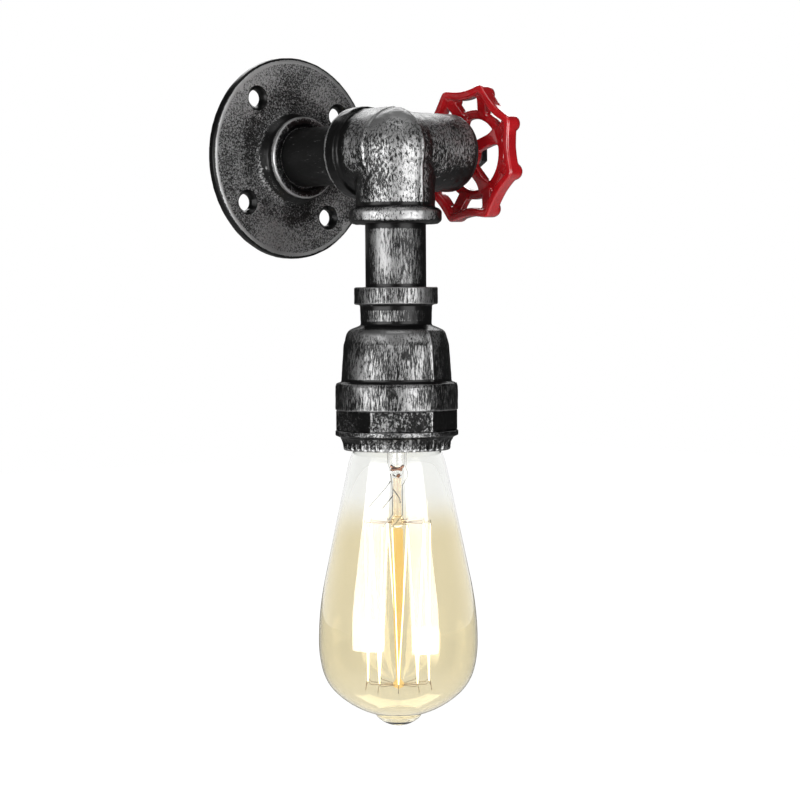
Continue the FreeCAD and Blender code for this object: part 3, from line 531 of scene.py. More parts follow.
def clear_glass(name, colour):
    paint = Paint(name)
    paler = tuple(min(1.0, part * 1.05) for part in colour)
    areas = paint.noise(paint.plain, 0.2, 2, 0.5)
    paint.set("Base Color", paint.mixed(areas, colour, paler))
    paint.set("Transmission Weight", 1.0)
    paint.set("IOR", STEM_IOR)
    paint.set("Roughness", 0.0)
    return paint.material


def glowing(name, colour, strength):
    paint = Paint(name)
    hot = tuple(min(1.0, part * 1.12) for part in colour)
    uneven = paint.noise(paint.plain, 0.6, 2, 0.5)
    paint.set("Base Color", (0.05, 0.04, 0.03, 1))
    paint.set("Emission Color", paint.mixed(uneven, colour, hot))
    paint.set("Emission Strength", strength)
    return paint.material


def make_iron():
    """The brushed fittings; each has bands of more or less silver: painted shade in its
    grooves and seats, wear on its edges, and a painted highlight on the elbow's top.
    """
    return {
        "flange": rubbed_and_shaded_iron(
            "flange_iron", cover=0.47, patch=0.045, edge=0.6, size=1.3, side_shade=0.1,
            roughness=0.42, silver=0.46, soft=0.1,
            # Painted shade: black on the rim's side wall, in a ring round the hub, inside the
            # lip, in the neck under it and in the countersinks; more silver on the rim's front
            # edge and the lip's edge.
            bands=[("wall", 42.3, 1.4, -0.5), ("wall", 40.3, 0.9, 0.25),
                   ("wall", 23, 6.5, -0.06), ("wall", 17.0, 0.8, 0.3),
                   ("wall", 14.3, 2.2, -0.12), ("Y", -8.0, 3.4, -0.5)],
            holes=[(HOLE_CIRCLE * math.cos(turn), HOLE_CIRCLE * math.sin(turn), SINK)
                   for turn in HOLE_TURNS]),
        "elbow": rubbed_and_shaded_iron(
            "elbow_iron", (1.2, 1.2, 0.5), cover=0.56, patch=0.06, edge=0.7, size=1.2,
            silver=0.38, roughness=0.42,
            # Painted shade in the crease above the lower collar and a painted highlight on the
            # heel's top, as if lit from above; more silver on the collars' edges, less along the
            # wall and side arms.
            bands=[("Y", -51, 7, -0.26), ("Y", -46.2, 1.5, 0.34), ("Z", -21.8, 1.2, -0.25),
                   ("Z", -26, 3.4, 0.05), ("Z", 17, 7, 0.12), ("X", 25, 12, -0.05)]),
        "drop": rubbed_and_shaded_iron(
            "drop_iron", (1.5, 1.5, 0.2), cover=0.42, patch=0.08, silver=0.23,
            # Painted shade: black rings where the pipe meets the collars above and below.
            roughness=0.42, bands=[("Z", -30, 1.6, -0.3), ("Z", -54.2, 1.2, -0.3)]),
        "bell": rubbed_and_shaded_iron(
            "bell_iron", (1.5, 1.5, 0.18), cover=0.48, patch=0.08, edge=2.0, side_shade=0.12,
            silver=0.26,
            # Painted shade: black in the neck grooves and at the shoulder's foot; a little more
            # silver on the shoulder.
            bands=[("Z", -62.6, 1.4, -0.4), ("Z", -69.7, 1.9, -0.4), ("Z", -65.8, 3.4, -0.08),
                   ("Z", -91.9, 1.0, -0.3), ("Z", -74.0, 3.0, 0.04)]),
        "ring": rubbed_and_shaded_iron(
            "ring_iron", (1.2, 1.2, 0.8), cover=0.2, patch=0.12, edge=1.3, side_shade=0.1,
            size=1.3, silver=0.3, bands=[("Z", -119.4, 1.1, 0.14), ("Z", -112.9, 0.9, 0.05)]),
        "black_hexagon": rubbed_and_shaded_iron(
            "black_hexagon", (1.1, 1.1, 0.7), cover=0.16, patch=0.07, edge=1.4, size=1.0,
            side_shade=0.15, silver=0.27),
    }


def make_materials():
    return {
        **make_iron(),
        "black_pipe": black_paint("black_pipe", BLACK, 0.32, flecks=0.06, shine=0.22),
        "port": black_paint("port_steel", (0.006, 0.006, 0.006), 0.4),
        "red": red_enamel(),
        "zinc": plain_metal("zinc_steel", (0.5, 0.5, 0.52)),
        "nut": plain_metal("dark_zinc", (0.07, 0.07, 0.075)),
        "brass": plain_metal("holder_brass", (0.78, 0.56, 0.26), 0.3),
        "cap": plain_metal("cap_brass", (0.74, 0.7, 0.6), 0.3),
        "ceramic": plain_metal("white_ceramic", (0.86, 0.84, 0.8), 0.45, 0.0, 0.06, 0.8),
        "rubber": plain_metal("black_rubber", (0.03, 0.03, 0.032), 0.6, 0.0, 0.06),
        "brown": plain_metal("brown_insulation", (0.2, 0.08, 0.04), 0.42, 0.0),
        "blue": plain_metal("blue_insulation", (0.03, 0.14, 0.5), 0.42, 0.0),
        "green": striped_insulation(),
        "cap_glass": plain_metal("black_glass", (0.012, 0.012, 0.02), 0.14, 0.0),
        "glass": tinted_glass(),
        "stem": clear_glass("clear_glass", (1, 1, 1)),
        "rod_glass": clear_glass("rod_glass", (0.92, 0.81, 0.64)),
        "wire": plain_metal("support_wire", (0.34, 0.22, 0.12), 0.4),
        "lead": plain_metal("lead_wire", (0.1, 0.09, 0.085), 0.45),
        "copper": plain_metal("copper_wire", (0.5, 0.23, 0.14), 0.4),
        "filament": glowing("glowing_filament", (1.0, 0.86, 0.6), 4.0),
        # The rod's glow is painted light: the glass rod gets its own emission for the filament's
        # light that it carries, though it is no lamp.
        "rod": glowing("rod_painted_glow", (1.0, 0.64, 0.19), 1.05),
    }


# ---------------------------------------------------------------- camera and light

IMAGE, SENSOR, FOCAL = 800, 36, 2434.9
CAMERA_PLACE = Vector((-644.44, -802.74, -59.8))
CAMERA_AZIMUTH, CAMERA_PITCH, CAMERA_ROLL = 41.345, 2.343, -0.386
LIT_POINT = Vector((0, -LAMP, -110))
BACKDROP_WAY = (0.66, 0.75, -0.04)


def place_camera():
    """The photograph's camera, fitted to the object's known circles and axes."""
    azimuth, pitch, roll = map(math.radians, (CAMERA_AZIMUTH, CAMERA_PITCH, CAMERA_ROLL))
    forward = Vector((math.sin(azimuth) * math.cos(pitch), math.cos(azimuth) * math.cos(pitch),
                      -math.sin(pitch)))
    level = Vector((math.cos(azimuth), -math.sin(azimuth), 0))
    above = level.cross(forward)
    right = level * math.cos(roll) + above * math.sin(roll)
    up = above * math.cos(roll) - level * math.sin(roll)
    data = bpy.data.cameras.new("photo_camera")
    data.sensor_width = SENSOR
    data.lens = FOCAL * SENSOR / IMAGE
    data.clip_end = 20
    camera = linked("photo_camera", data)
    turn = Matrix((right, up, -forward)).transposed().to_4x4()
    camera.matrix_world = Matrix.Translation(CAMERA_PLACE * MM) @ turn
    bpy.context.scene.camera = camera


def softbox(name, azimuth, elevation, distance, size, power, fade=0.0):
    """A softbox that faces LIT_POINT; distance and size are in metres.

    azimuth is measured from the camera's side, positive to the right, and fade is how
    much darker its upper edge is than its lower part."""
    data = bpy.data.lights.new(name, "AREA")
    tree = Tree(data)
    upward = tree.split(tree.node("NewGeometry").outputs["Parametric"])["Y"]
    tree.link(tree.ramp(upward, 0.35, 0.9, 1.0, 1.0 - fade),
              tree.nodes["Emission"].inputs["Strength"])
    data.shape = "RECTANGLE"
    data.size, data.size_y = size
    data.energy = power
    around = math.radians(azimuth - CAMERA_AZIMUTH)
    lift = math.radians(elevation)
    offset = Vector((math.sin(around) * math.cos(lift), -math.cos(around) * math.cos(lift),
                     math.sin(lift))) * distance
    turn = offset.to_track_quat("Z", "Y").to_matrix().to_4x4()
    light = linked(name, data)
    light.matrix_world = Matrix.Translation(LIT_POINT * MM + offset) @ turn


def set_world():
    """White backdrop behind the object and darker round it, as a studio is.

    Only what is seen, in or through the clear glass too, meets the white: the metal's
    blurred reflections and diffuse light get grey, so that the softboxes shape it."""
    world = bpy.data.worlds.new("studio")
    tree = Tree(world)
    path = tree.node("LightPath").outputs
    direction = tree.node("TexCoord").outputs["Generated"]
    ahead = tree.vector_maths("DOT_PRODUCT", direction, BACKDROP_WAY)
    backdrop = tree.ramp(ahead, 0.0, 0.75, 0.5, 1.0)
    background = tree.nodes["Background"].inputs
    background["Color"].default_value = (1, 1, 1, 1)
    diffuse_grey, mirrored_grey = 0.12, 0.03
    tree.link(tree.chained("MAXIMUM", path["Is Camera Ray"],
                           tree.maths("MULTIPLY", path["Is Transmission Ray"], backdrop),
                           tree.maths("MULTIPLY", path["Is Singular Ray"], backdrop),
                           tree.maths("MULTIPLY", path["Is Diffuse Ray"], diffuse_grey),
                           mirrored_grey),
              background["Strength"])
    bpy.context.scene.world = world
    bpy.context.scene.view_settings.view_transform = "Standard"


def pale_floor():
    """A floor that looks white, yet lights the object as a grey one does."""
    half, depth = 6.0, -0.62
    mesh = bpy.data.meshes.new("floor")
    mesh.from_pydata([(-half, -half, depth), (half, -half, depth), (half, half, depth),
                      (-half, half, depth)], [], [[0, 1, 2, 3]])
    floor = linked("floor", mesh)
    paint = Paint("pale_floor")
    paint.set("Base Color", (0.6, 0.6, 0.6, 1))
    paint.set("Roughness", 1.0)
    paint.set("Emission Color", (1, 1, 1, 1))
    path = paint.node("LightPath").outputs
    paint.set("Emission Strength",
              paint.maths("MAXIMUM", path["Is Camera Ray"], path["Is Transmission Ray"]))
    mesh.materials.append(paint.material)


def studio():
    place_camera()
    set_world()
    softbox("left_softbox", -44, 11.5, 0.75, (0.73, 0.75), 11, 0.9)
    softbox("right_softbox", 39.5, 10, 0.75, (0.59, 0.78), 8.5, 0.9)
    softbox("top_softbox", 10, 75, 1.2, (0.6, 0.6), 2)
    softbox("back_softbox", 180, 38, 1.1, (0.9, 0.5), 5)
    pale_floor()


# ---------------------------------------------------------------- fittings

def wall_flange(paint):
    front = 11.97
    line = split_long(rounded([
        (PIPE, 0), (41.4, 0, 0.5), (42, 0.7, 0.5), (42, 3.6, 0.9), (40.2, 3.75, 0.5),
        (24, 3.6, 3), (19.6, 4.0, 2.6), (16.4, 7.2, 1.6), (16.2, 8.9, 0.4), (17, 9.8, 0.4),
        (17, front, 0.7), (14.2, front, 0.5), (13.2, 11.1, 0.4), (PIPE, 10.8),
    ]), 1.6)
    flange = piece("wall_flange_casting", lathe(line, 180), ON_WALL, paint["flange"], FIXTURE,
                   ["wall_flange"], crease=40)
    hole = rounded([(0, -1), (HOLE, -1), (HOLE, 2.0), (SINK, 3.9), (SINK, 6), (0, 6)])
    for turn in HOLE_TURNS:
        place = Matrix.Translation((HOLE_CIRCLE * math.cos(turn),
                                    HOLE_CIRCLE * math.sin(turn), 0))
        cut(flange, lathe(hole, 48), ON_WALL @ place)
    lumpy(flange, height=0.12, grain=2.2, flat_from=-0.4)
    smooth(flange, 40)


def nipples(paint):
    def pipe(start, end):
        return lathe(rounded([(BORE, start), (PIPE, start, 0.5), (PIPE, end, 0.5), (BORE, end)]))
    piece("wall_nipple_pipe", pipe(3, LAMP - WALL_ARM + SCREWED), ON_WALL, paint["black_pipe"],
          FIXTURE, ["wall_nipple"])
    piece("drop_nipple_pipe", pipe(DROP_END, DROP_TOP), ON_LAMP, paint["drop"], FIXTURE,
          ["drop_nipple"])


def ridge(offset, width, height):
    """Height of a rounded ridge at a distance from its crest."""
    return height * math.exp(-(offset / width) ** 2)


def elbow_seam(point):
    """Height of the parting ridge and of the worn step beside it."""
    x, y, z = point
    wall_band, collar, side_arm = 15.6, -22.6, 14
    on_heel = z > 0 and y < wall_band
    on_front = y < 0 and z > collar
    if math.hypot(y, z) < side_arm or not (on_heel or on_front):
        return 0
    step = ridge(x + 2.2, 2.4, 0.35) if x < 0.4 else 0
    return ridge(x - 0.2, 0.7, 0.4) + step


def corner_elbow(paint):
    """Three-way fitting: branches, heel and bands melted together, then its seam raised."""
    down = rounded([(0, DOWN_ARM), (17.0, DOWN_ARM, 0.8), (18.6, -28.0, 1.2), (18.6, -24.2, 1.4),
                    (17.2, -22.9, 0.6), (15.9, -22.7), (15.9, 0), (0, 0)])
    wall = rounded([(0, 0), (17.4, 0), (17.4, 15.6, 0.3), (18.8, 16.4, 0.5),
                    (18.8, WALL_ARM, 0.6), (0, WALL_ARM)])
    side = rounded([(0, 0), (15.8, 0), (15.8, SIDE_ARM, 1.0), (0, SIDE_ARM)])
    to_wall = Matrix.Rotation(-math.pi / 2, 4, "X")
    to_side = Matrix.Rotation(math.pi / 2, 4, "Y")
    heel = ball(Vector(), 16.9, detail=5)
    elbow = cast("corner_elbow_casting", [lathe(down, 120), moved(lathe(wall, 120), to_wall),
                                          moved(lathe(side, 120), to_side), heel], rounds=5)
    lifted(elbow, elbow_seam)
    lumpy(elbow, height=0.16, grain=2.6)
    elbow.data.transform(Matrix.Translation((0, -LAMP * MM, 0)))
    cut(elbow, ball(Vector(), 11.4, detail=4), ON_LAMP)
    for way, seat, past_arm in ((Matrix(), DROP_TOP, -31), (to_wall, WALL_ARM - SCREWED, 24),
                                (to_side, SIDE_ARM - SCREWED, 32)):
        bore = rounded([(0, past_arm), (PIPE, past_arm), (PIPE, seat), (PASSAGE, seat),
                        (PASSAGE, 0), (0, 0)])
        cut(elbow, lathe(bore, 96), ON_LAMP @ way)
    finish_piece(elbow, paint["elbow"], FIXTURE, ["corner_elbow"], crease=50)


def bell_reducer(paint):
    line = split_long(rounded([
        (PIPE, DROP_END), (PIPE, BELL_TOP), (16.8, BELL_TOP, 0.6), (16.8, -61.33, 0.7),
        (14.5, -61.6, 0.8), (14.2, -69.6, 1.2), (15.6, -70.2, 0.6), (19.6, -71.8, 3.6),
        (21.2, -77.6, 4.2), (22.2, -92.2, 0.8), (24.2, -92.9, 0.7), (24.6, -94.2, 0.8),
        (24.6, BELL_END, 0.7), (19.5, BELL_END), (19.5, -90.2), (18.2, -88.8),
        (18.2, -78.5, 3), (14, -73.5), (8.5, -73.5), (8.5, DROP_END),
    ]), 0.9)

    def parting(vert):
        radius = math.hypot(vert.x, vert.y)
        if -93 < vert.z < -71 and vert.y < 0 and radius > 16:
            vert += Vector((0, -1, 0)) * ridge(vert.x + 0.2, 0.7, 0.55)
        return vert
    bell = piece("bell_reducer_casting", lathe(line, 240, parting), ON_LAMP, paint["bell"],
                 FIXTURE, ["bell_reducer"], crease=60)
    lumpy(bell, height=0.1, grain=2.2)


def hex_bushing(paint):
    """Six flats below the bell, and the collar that screws up into it."""
    corner, turn = 24.6, math.radians(24.2)
    flat = corner * math.cos(math.pi / 6)
    collar, collar_top = 19.5, BELL_END + 10
    line = split_long(rounded([
        (17.5, HEX_END), (corner, HEX_END, 0.5), (corner, BELL_END, 0.5), (collar, BELL_END),
        (collar, collar_top, 0.5), (17.5, collar_top),
    ]), 0.8)

    def hexagonal(vert):
        radius = math.hypot(vert.x, vert.y)
        if radius < collar + 0.1:
            return vert
        angle = (math.atan2(vert.y, vert.x) - turn) % (math.pi / 3) - math.pi / 6
        reach = soft_least(flat / math.cos(angle), corner - 0.15, 0.3)
        grow = (reach - (corner - radius)) / radius
        return Vector((vert.x * grow, vert.y * grow, vert.z))
    bushing = piece("hex_bushing_block", lathe(line, 360, hexagonal), ON_LAMP,
                    paint["black_hexagon"], FIXTURE, ["hex_bushing"], crease=25)
    lumpy(bushing, height=0.06, grain=2.0)


def lamp_ring(paint):
    """Ring with a lip, a cove and upright ribs round its skirt."""
    line = split_long(rounded([
        (17.4, HEX_END), (24.7, HEX_END, 0.4), (24.7, -113.7, 0.5), (22.6, -114.6, 1.2),
        (21.4, -116.6, 1.6), (21.2, RING_END, 0.5), (19.5, RING_END, 0.4), (19.1, -118.7),
        (17.4, -114.6),
    ]), 0.55)
    ribs, ribs_from = 40, -114.4

    def ribbed(vert):
        radius = math.hypot(vert.x, vert.y)
        if radius < 20.4 or not RING_END + 0.08 <= vert.z <= ribs_from:
            return vert
        wave = max(0.0, math.cos(math.atan2(vert.y, vert.x) * ribs)) ** 0.6
        uneven = 0.7 + 0.6 * noise.noise(vert / 2.5)
        fade = min(1.0, (ribs_from - vert.z) / 1.2) * min(1.0, (vert.z - RING_END) / 0.5)
        grow = 1 + (0.75 * wave * uneven - 0.2) * fade / radius
        return Vector((vert.x * grow, vert.y * grow, vert.z))
    piece("lamp_ring_casting", lathe(line, 360, ribbed), ON_LAMP, paint["ring"], FIXTURE,
          ["lamp_ring"], crease=60)


def port_plug(paint):
    seat, flange, boss = SIDE_ARM - SCREWED, SIDE_ARM + 1.8, SIDE_ARM + 4.2
    line = rounded([(4.05, seat), (PIPE, seat, 0.4), (PIPE, SIDE_ARM), (14.6, SIDE_ARM, 0.2),
                    (14.6, flange, 0.6), (7.4, flange, 0.5), (7, boss, 0.5), (4.05, boss, 0.2)])
    piece("port_plug_turned", lathe(line), ON_SIDE, paint["port"], FIXTURE, ["port_plug"])


# ---------------------------------------------------------------- handwheel

# The wheel's turn at rest and the radius of its stem's thread, then how far from the
# corner fitting's centre the pieces on the stem begin or end.
LOBES, SPOKES = 8, 4
WHEEL_TURN, SPOKE_TURN = 18.66, 45
STEM_THREAD = 3.0
HUB_NEAR, WASHER_NEAR, NUT_NEAR, NUT_FAR, STEM_END = 36.0, 41.6, 42.4, 46.2, 46.8


def bar(start, end, half_width, half_thick, flare):
    """Box from start to end, wide across its run and thick along Z, wider at its end."""
    run = (end - start).normalized()
    up = Vector((0, 0, 1))
    wide = run.cross(up).normalized()
    verts = []
    for point, extra in ((start, 0.0), (start.lerp(end, 0.7), 0.0), (end, flare)):
        for x, z in ((-1, -1), (1, -1), (1, 1), (-1, 1)):
            verts.append(point + wide * x * (half_width + extra) + up * z * half_thick)
    return verts, [[0, 1, 2, 3], [8, 9, 10, 11]] + belts(3, 4)


def rim_shape():
    """Band from vertex to vertex with hollow sides and rounded vertices."""
    per_side = 16
    near, depth, wall = 37.6, 5.8, 3.7
    radius, sag = 29.7, 1.6
    half = math.pi / LOBES
    sections = []
    for index in range(LOBES * per_side):
        share = (index % per_side) / per_side
        chord = radius * math.cos(half) / math.cos((share - 0.5) * 2 * half)
        outer = soft_least(chord - sag * 4 * share * (1 - share), 29.2, 0.9)
        inner = outer - wall
        corners = [(inner, 0.9), (inner + 0.7, 0), (outer - 0.5, 0), (outer, 0.5),
                   (outer - 0.2, depth - 0.8), (outer - 1.0, depth), (inner + 0.8, depth),
                   (inner, depth - 0.8)]
        turn = 360 * index / (LOBES * per_side)
        sections.append([on_circle(r, near + z, turn) for r, z in corners])
    verts = [vert for section in sections for vert in section]
    return verts, belts(len(sections), len(sections[0]), closed=True)


def handwheel(paint):
    """Dished cast wheel: hollow-sided rim with eight lobes, ring, arms, spokes and hub."""
    ring_near, ring_far, hub_far = 42.7, 46.2, 41.7
    ring = rounded([(14.5, ring_near, 1.0), (18.5, ring_near, 1.0), (18.5, ring_far, 1.2),
                    (14.5, ring_far, 1.2)])
    hub = rounded([(0, HUB_NEAR), (6.8, HUB_NEAR, 0.8), (6.8, hub_far, 0.8), (0, hub_far)])
    shapes = [rim_shape(), lathe(ring, 96), lathe(hub, 48)]
    lobe, lobe_near, lobe_far = 3.6, 40.2, 42.8
    for index in range(LOBES):
        turn = 360 * index / LOBES
        shapes.append(bar(on_circle(16.6, 44.1, turn), on_circle(27, 40.3, turn), 2.6, 1.7, 1.0))
        foot, head = on_circle(25.3, lobe_near, turn), on_circle(25.3, lobe_far, turn)
        shapes += [tube([foot, head], lobe, 24), ball(head, lobe)]
    for index in range(SPOKES):
        turn = 360 * index / SPOKES + SPOKE_TURN
        shapes.append(bar(on_circle(3, 38.6, turn), on_circle(16, 44.4, turn), 2.5, 1.7, 1.4))
    wheel = cast("handwheel_casting", shapes, rounds=7)
    lumpy(wheel, height=0.05, grain=3)
    place = ON_SIDE @ Matrix.Rotation(math.radians(WHEEL_TURN), 4, "Z")
    place.translation *= MM
    wheel.data.transform(place)
    cut(wheel, stem_hole(), ON_SIDE)
    finish_piece(wheel, paint["red"], WHEEL, ["handwheel"], crease=60)


def stem_hole():
    """What is cut out of the wheel and the nut for the stem's thread."""
    return lathe(rounded([(0, 30), (STEM_THREAD, 30), (STEM_THREAD, 60), (0, 60)]), 48)


def wheel_fasteners(paint):
    stem = split_long(rounded([
        (0, 17.06), (6.5, 17.06, 0.3), (6.5, 19.26, 0.3), (4, 19.26), (4, HUB_NEAR, 0.3),
        (STEM_THREAD, HUB_NEAR), (STEM_THREAD, STEM_END, 0.6), (0, STEM_END)]), 0.2)

    def threaded(vert):
        if vert.z < 42.0 or math.hypot(vert.x, vert.y) < 2.6:
            return vert
        phase = 2 * math.pi * vert.z - math.atan2(vert.y, vert.x)
        grow = 1 - 0.12 * (1 - math.cos(phase)) / 2 * min(1, (STEM_END - vert.z) / 0.5)
        return Vector((vert.x * grow, vert.y * grow, vert.z))
    piece("valve_stem_turned", lathe(stem, 64, threaded), ON_SIDE, paint["zinc"], WHEEL,
          ["valve_stem"])
    washer = rounded([(STEM_THREAD, WASHER_NEAR), (6, WASHER_NEAR, 0.2), (6, NUT_NEAR, 0.2),
                      (STEM_THREAD, NUT_NEAR)])
    piece("wheel_washer_disc", lathe(washer, 64), ON_SIDE, paint["zinc"], WHEEL,
          ["wheel_washer"])
    corners = [on_circle(5.77, 0, 60 * index).xy for index in range(6)]
    nut = piece("wheel_nut_block", prism(corners, NUT_NEAR, NUT_FAR), ON_SIDE, paint["nut"],
                WHEEL, ["wheel_nut"])
    applied(nut, "BEVEL", width=0.3 * MM, segments=3, limit_method="ANGLE",
            angle_limit=math.radians(30))
    cut(nut, stem_hole(), ON_SIDE)
    smooth(nut, 30)


# ---------------------------------------------------------------- bulb

# Runs of the glass from its throat to its tip: end (r, z), radius of the arc (0 for a
# straight run, below 0 where it turns right on its way down) and number of points.
GLASS_TOP, GLASS_THROAT = (12.75, -110.12), (12.75, -113.5)
GLASS_RUNS = [
    ((14.5, -115.5), 2.6, 4), ((19.8, -125.5), -20.3, 10), ((29.5, -172.4), 0, 10),
    ((32.0, -197.0), -120, 10), ((30.6, -208.0), -44, 6), ((24.8, -217.7), -20, 8),
    ((9.9, -226.1), -36.6, 8), ((8.9, -227.3), 1.6, 4), ((0.0, TIP), -12.4, 10),
]
GLASS_WALL = 0.8
THREAD_STEP = 3.62

# The camera's side of the lamp as a turn from +X, heights of the rod's bead and foot, and
# the number of hooks on the foot.
FRONT = -131.35
BEAD, FOOT = TIP + 82.1, TIP + 16.4
HOOKS = 10


def arc_points(start, end, radius, count):
    """Points after start, up to end, on an arc that turns right (radius below 0) or left."""
    if not radius:
        return [start.lerp(end, step / count) for step in range(1, count + 1)]
    chord = end - start
    left = Vector((-chord.y, chord.x)).normalized()
    reach = math.sqrt(max(radius * radius - chord.length_squared / 4, 0))
    centre = (start + end) / 2 + left * math.copysign(reach, radius)
    first, last = start - centre, end - centre
    sweep = first.angle(last) * math.copysign(1, radius)
    points = []
    for step in range(1, count + 1):
        angle = math.atan2(first.y, first.x) + sweep * step / count
        points.append(centre + Vector((math.cos(angle), math.sin(angle))) * abs(radius))
    return points


def glass_line():
    """Half outline of the glass, from the cap to the tip."""
    line = [Vector(GLASS_TOP), Vector(GLASS_THROAT)]
    start = line[-1]
    for end, radius, count in GLASS_RUNS:
        line += arc_points(start, Vector(end), radius, count)
        start = Vector(end)
    line[-1] = Vector((0, TIP))
    return line


def moved_in(line, wall):
    """The line moved in along its normals by the glass's wall, for its inner face."""
    inner = []
    for index, point in enumerate(line):
        before, after = line[max(index - 1, 0)], line[min(index + 1, len(line) - 1)]
        along = (after - before).normalized()
        inner.append(point + Vector((along.y, -along.x)) * wall)
    inner[0].y = line[0].y
    tip = Vector((0, TIP + 2.6 * wall))
    return [point for point in inner if point.x > 0.4 and point.y > tip.y] + [tip]


def bulb_glass(paint):
    outer = glass_line()
    inner = moved_in(outer, GLASS_WALL)
    piece("bulb_glass_blown", lathe(outer + inner[::-1], 128), ON_LAMP, paint["glass"], BULB,
          ["bulb_glass"], crease=80)


def bulb_cap(paint):
    line = split_long(rounded([(9, -89.82), (13.15, -92.9, 1.2), (13.15, -113.12, 0.2),
                               (12.77, -113.12), (12.6, -93.2, 1.2), (9, -90.6)]), 0.4)
    thread_from, thread_to = -92, -110.5

    def rolled(vert):
        radius = math.hypot(vert.x, vert.y)
        if radius < 11.6 or not thread_to < vert.z < thread_from:
            return vert
        fade = min(1, (thread_from - vert.z) / 1.5) * min(1, (vert.z - thread_to) / 1.5)
        phase = 2 * math.pi * vert.z / THREAD_STEP - math.atan2(vert.y, vert.x)
        grow = 1 - 0.75 * fade * (0.5 + 0.5 * math.cos(phase)) / radius
        return Vector((vert.x * grow, vert.y * grow, vert.z))
    piece("bulb_cap_rolled", lathe(line, 96, rolled), ON_LAMP, paint["cap"], BULB,
          ["bulb_cap"], crease=60)


def seen(across, height, towards=0.0):
    """A place in the bulb as the photograph shows it: right, up and towards the camera."""
    return (on_circle(across, 0, FRONT + 90) + on_circle(towards, 0, FRONT)
            + Vector((0, 0, height)))


def bulb_stem(paint):
    """Glass stem with its pinch, the wires twisted in it, and the rod with its bead."""
    flare = rounded([(11.9, -111.3), (11.9, -112.3), (5, -116.1, 2), (3.8, -120, 1),
                     (3.8, -126.5), (3.0, -126.5), (3.0, -120, 1), (4.2, -115.4, 2)])
    piece("bulb_stem_flare", lathe(flare, 64), ON_LAMP, paint["stem"], BULB, ["bulb_stem"])
    pinch = ball(Vector((0, 0, -128.4)), 1, (3.6, 1.2, 2.4))
    piece("bulb_stem_pinch", pinch, ON_LAMP, paint["stem"], BULB)
    copper = [tube([seen(x, -126.2), seen(0.4 * x, -127.3, 0.8), seen(-0.8 * x, -127.8, 0.8)],
                   0.6, 10) for x in (-2.6, 2.6)]
    copper.append(ball(seen(0.4, -130.2), 1, (0.9, 0.8, 0.9)))
    piece("pinch_wires_twisted", joined(*copper), ON_LAMP, paint["copper"], BULB)
    rod = rounded([(0, -131.1), (1.7, -131.1), (1.6, BEAD + 2.6, 0.5), (2.9, BEAD + 1, 1),
                   (2.9, BEAD - 1, 1), (0, BEAD - 2.2)])
    piece("bulb_rod_drawn", lathe(rod, 48), ON_LAMP, paint["rod_glass"], BULB, ["bulb_rod"],
          crease=60)
    # Painted glow: an emitting core stands for the filament's light caught in the glass rod.
    painted_glow = rounded([(0, BEAD - 2.3), (2.2, BEAD - 2.6, 0.6), (2.4, BEAD - 18), (1.6, FOOT + 20),
                    (0.9, FOOT + 2.6), (2.2, FOOT + 0.6, 0.6), (2.2, FOOT - 0.8, 0.6),
                    (0, FOOT - 2)])
    piece("bulb_rod_painted_glow", lathe(painted_glow, 48), ON_LAMP, paint["rod"], BULB, crease=60)


def support_hooks(paint):
    """Ten hooks on the rod's foot and nine on its bead, which fall between those below."""
    step = 360 / HOOKS
    below = [(2.1, 0), (11.6, 0.6), (12.9, 1.9), (13.6, 0.4), (14.0, -1.6)]
    above = [(2.8, 0), (12.2, 0), (13.3, 0.8), (13.5, -1.4)]
    for name, node, shape, height, count, shift, radius in (
            ("lower_support_hooks", "lower_supports", below, FOOT, HOOKS, 0.0, 0.14),
            ("upper_support_hooks", "upper_supports", above, BEAD, HOOKS - 1, 0.5, 0.16)):
        hooks = [tube([on_circle(r, height + z, FRONT + (index + shift) * step)
                       for r, z in shape], radius) for index in range(count)]
        piece(name, joined(*hooks), ON_LAMP, paint["wire"], BULB, [node])


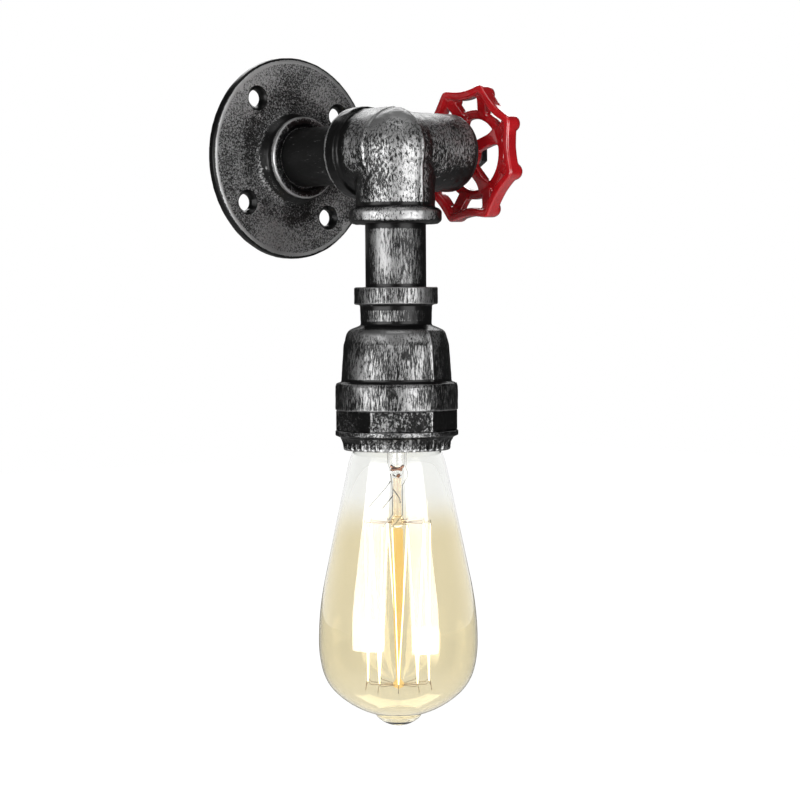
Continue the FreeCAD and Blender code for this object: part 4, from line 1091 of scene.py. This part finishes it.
def filament_and_leads(paint):
    """The filament from hook to hook, its two leads, and the loose wires over the bead."""
    step = 360 / HOOKS
    top_radius, foot_radius = 13.2, 12.9
    strand_radius, lead_radius, loose_radius = 0.24, 0.14, 0.2
    points = [on_circle(top_radius, BEAD - 1.0, FRONT - 9)]
    for index in range(HOOKS):
        points.append(on_circle(foot_radius, FOOT + 2.0, FRONT + index * step))
        if index < HOOKS - 1:
            points.append(on_circle(top_radius, BEAD - 0.6, FRONT + (index + 0.5) * step))
    points.append(on_circle(top_radius, BEAD - 1.0, FRONT - 27))
    strands = [tube([start, start.lerp(end, 0.5), end], strand_radius, 10)
               for start, end in zip(points, points[1:])]
    piece("filament_cage", joined(*strands), ON_LAMP, paint["filament"], BULB, ["filament"])
    runs = [[(3.0, -114), (3.0, -126), (4.2, -128.8), (4.2, -130.6), (2.0, -134.2), (2.0, -146)],
            [(-3.8, -114), (-3.8, -125), (-2.9, -128), (-2.2, -133), (-2.0, -136), (-2.0, -146)]]
    leads = [tube([seen(*place) for place in run] + [target], lead_radius)
             for run, target in zip(runs, (points[0], points[-1]))]
    for ends, towards in (([(-2.7, -132.4), (-4.5, -135), (-11.3, -142.6)], 0.0),
                          ([(-1.6, -138.1), (-6.0, -143.4)], 0.0),
                          ([(-1.7, -135.5), (0.9, -139.2), (1.2, -141.2)], 2.1)):
        leads.append(tube([seen(*place, towards) for place in ends], loose_radius))
    piece("lead_in_wires_bent", joined(*leads), ON_LAMP, paint["lead"], BULB,
          ["lead_in_wires"])


# ---------------------------------------------------------------- carried-over nodes

NODE_PAINT = {
    "wire_bush": "rubber", "lampholder_body": "ceramic", "screw_shell": "brass",
    "neutral_terminal": "brass", "live_terminal": "brass", "contact_rivet": "brass",
    "centre_contact": "brass", "terminal_screws": "zinc", "earth_screw": "zinc",
    "earth_lug": "brass", "live_lead": "brown", "neutral_lead": "blue", "earth_lead": "green",
    "bulb_cap_insulator": "cap_glass", "bulb_contact_button": "cap",
}


def paint_nodes(paint):
    for node, name in NODE_PAINT.items():
        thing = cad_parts[node]
        thing.data.materials.clear()
        thing.data.materials.append(paint[name])


def build():
    studio()
    paint = make_materials()
    for make in (wall_flange, nipples, corner_elbow, bell_reducer, hex_bushing, lamp_ring,
                 port_plug, handwheel, wheel_fasteners, bulb_glass, bulb_cap, bulb_stem,
                 support_hooks, filament_and_leads, paint_nodes):
        make(paint)


build()
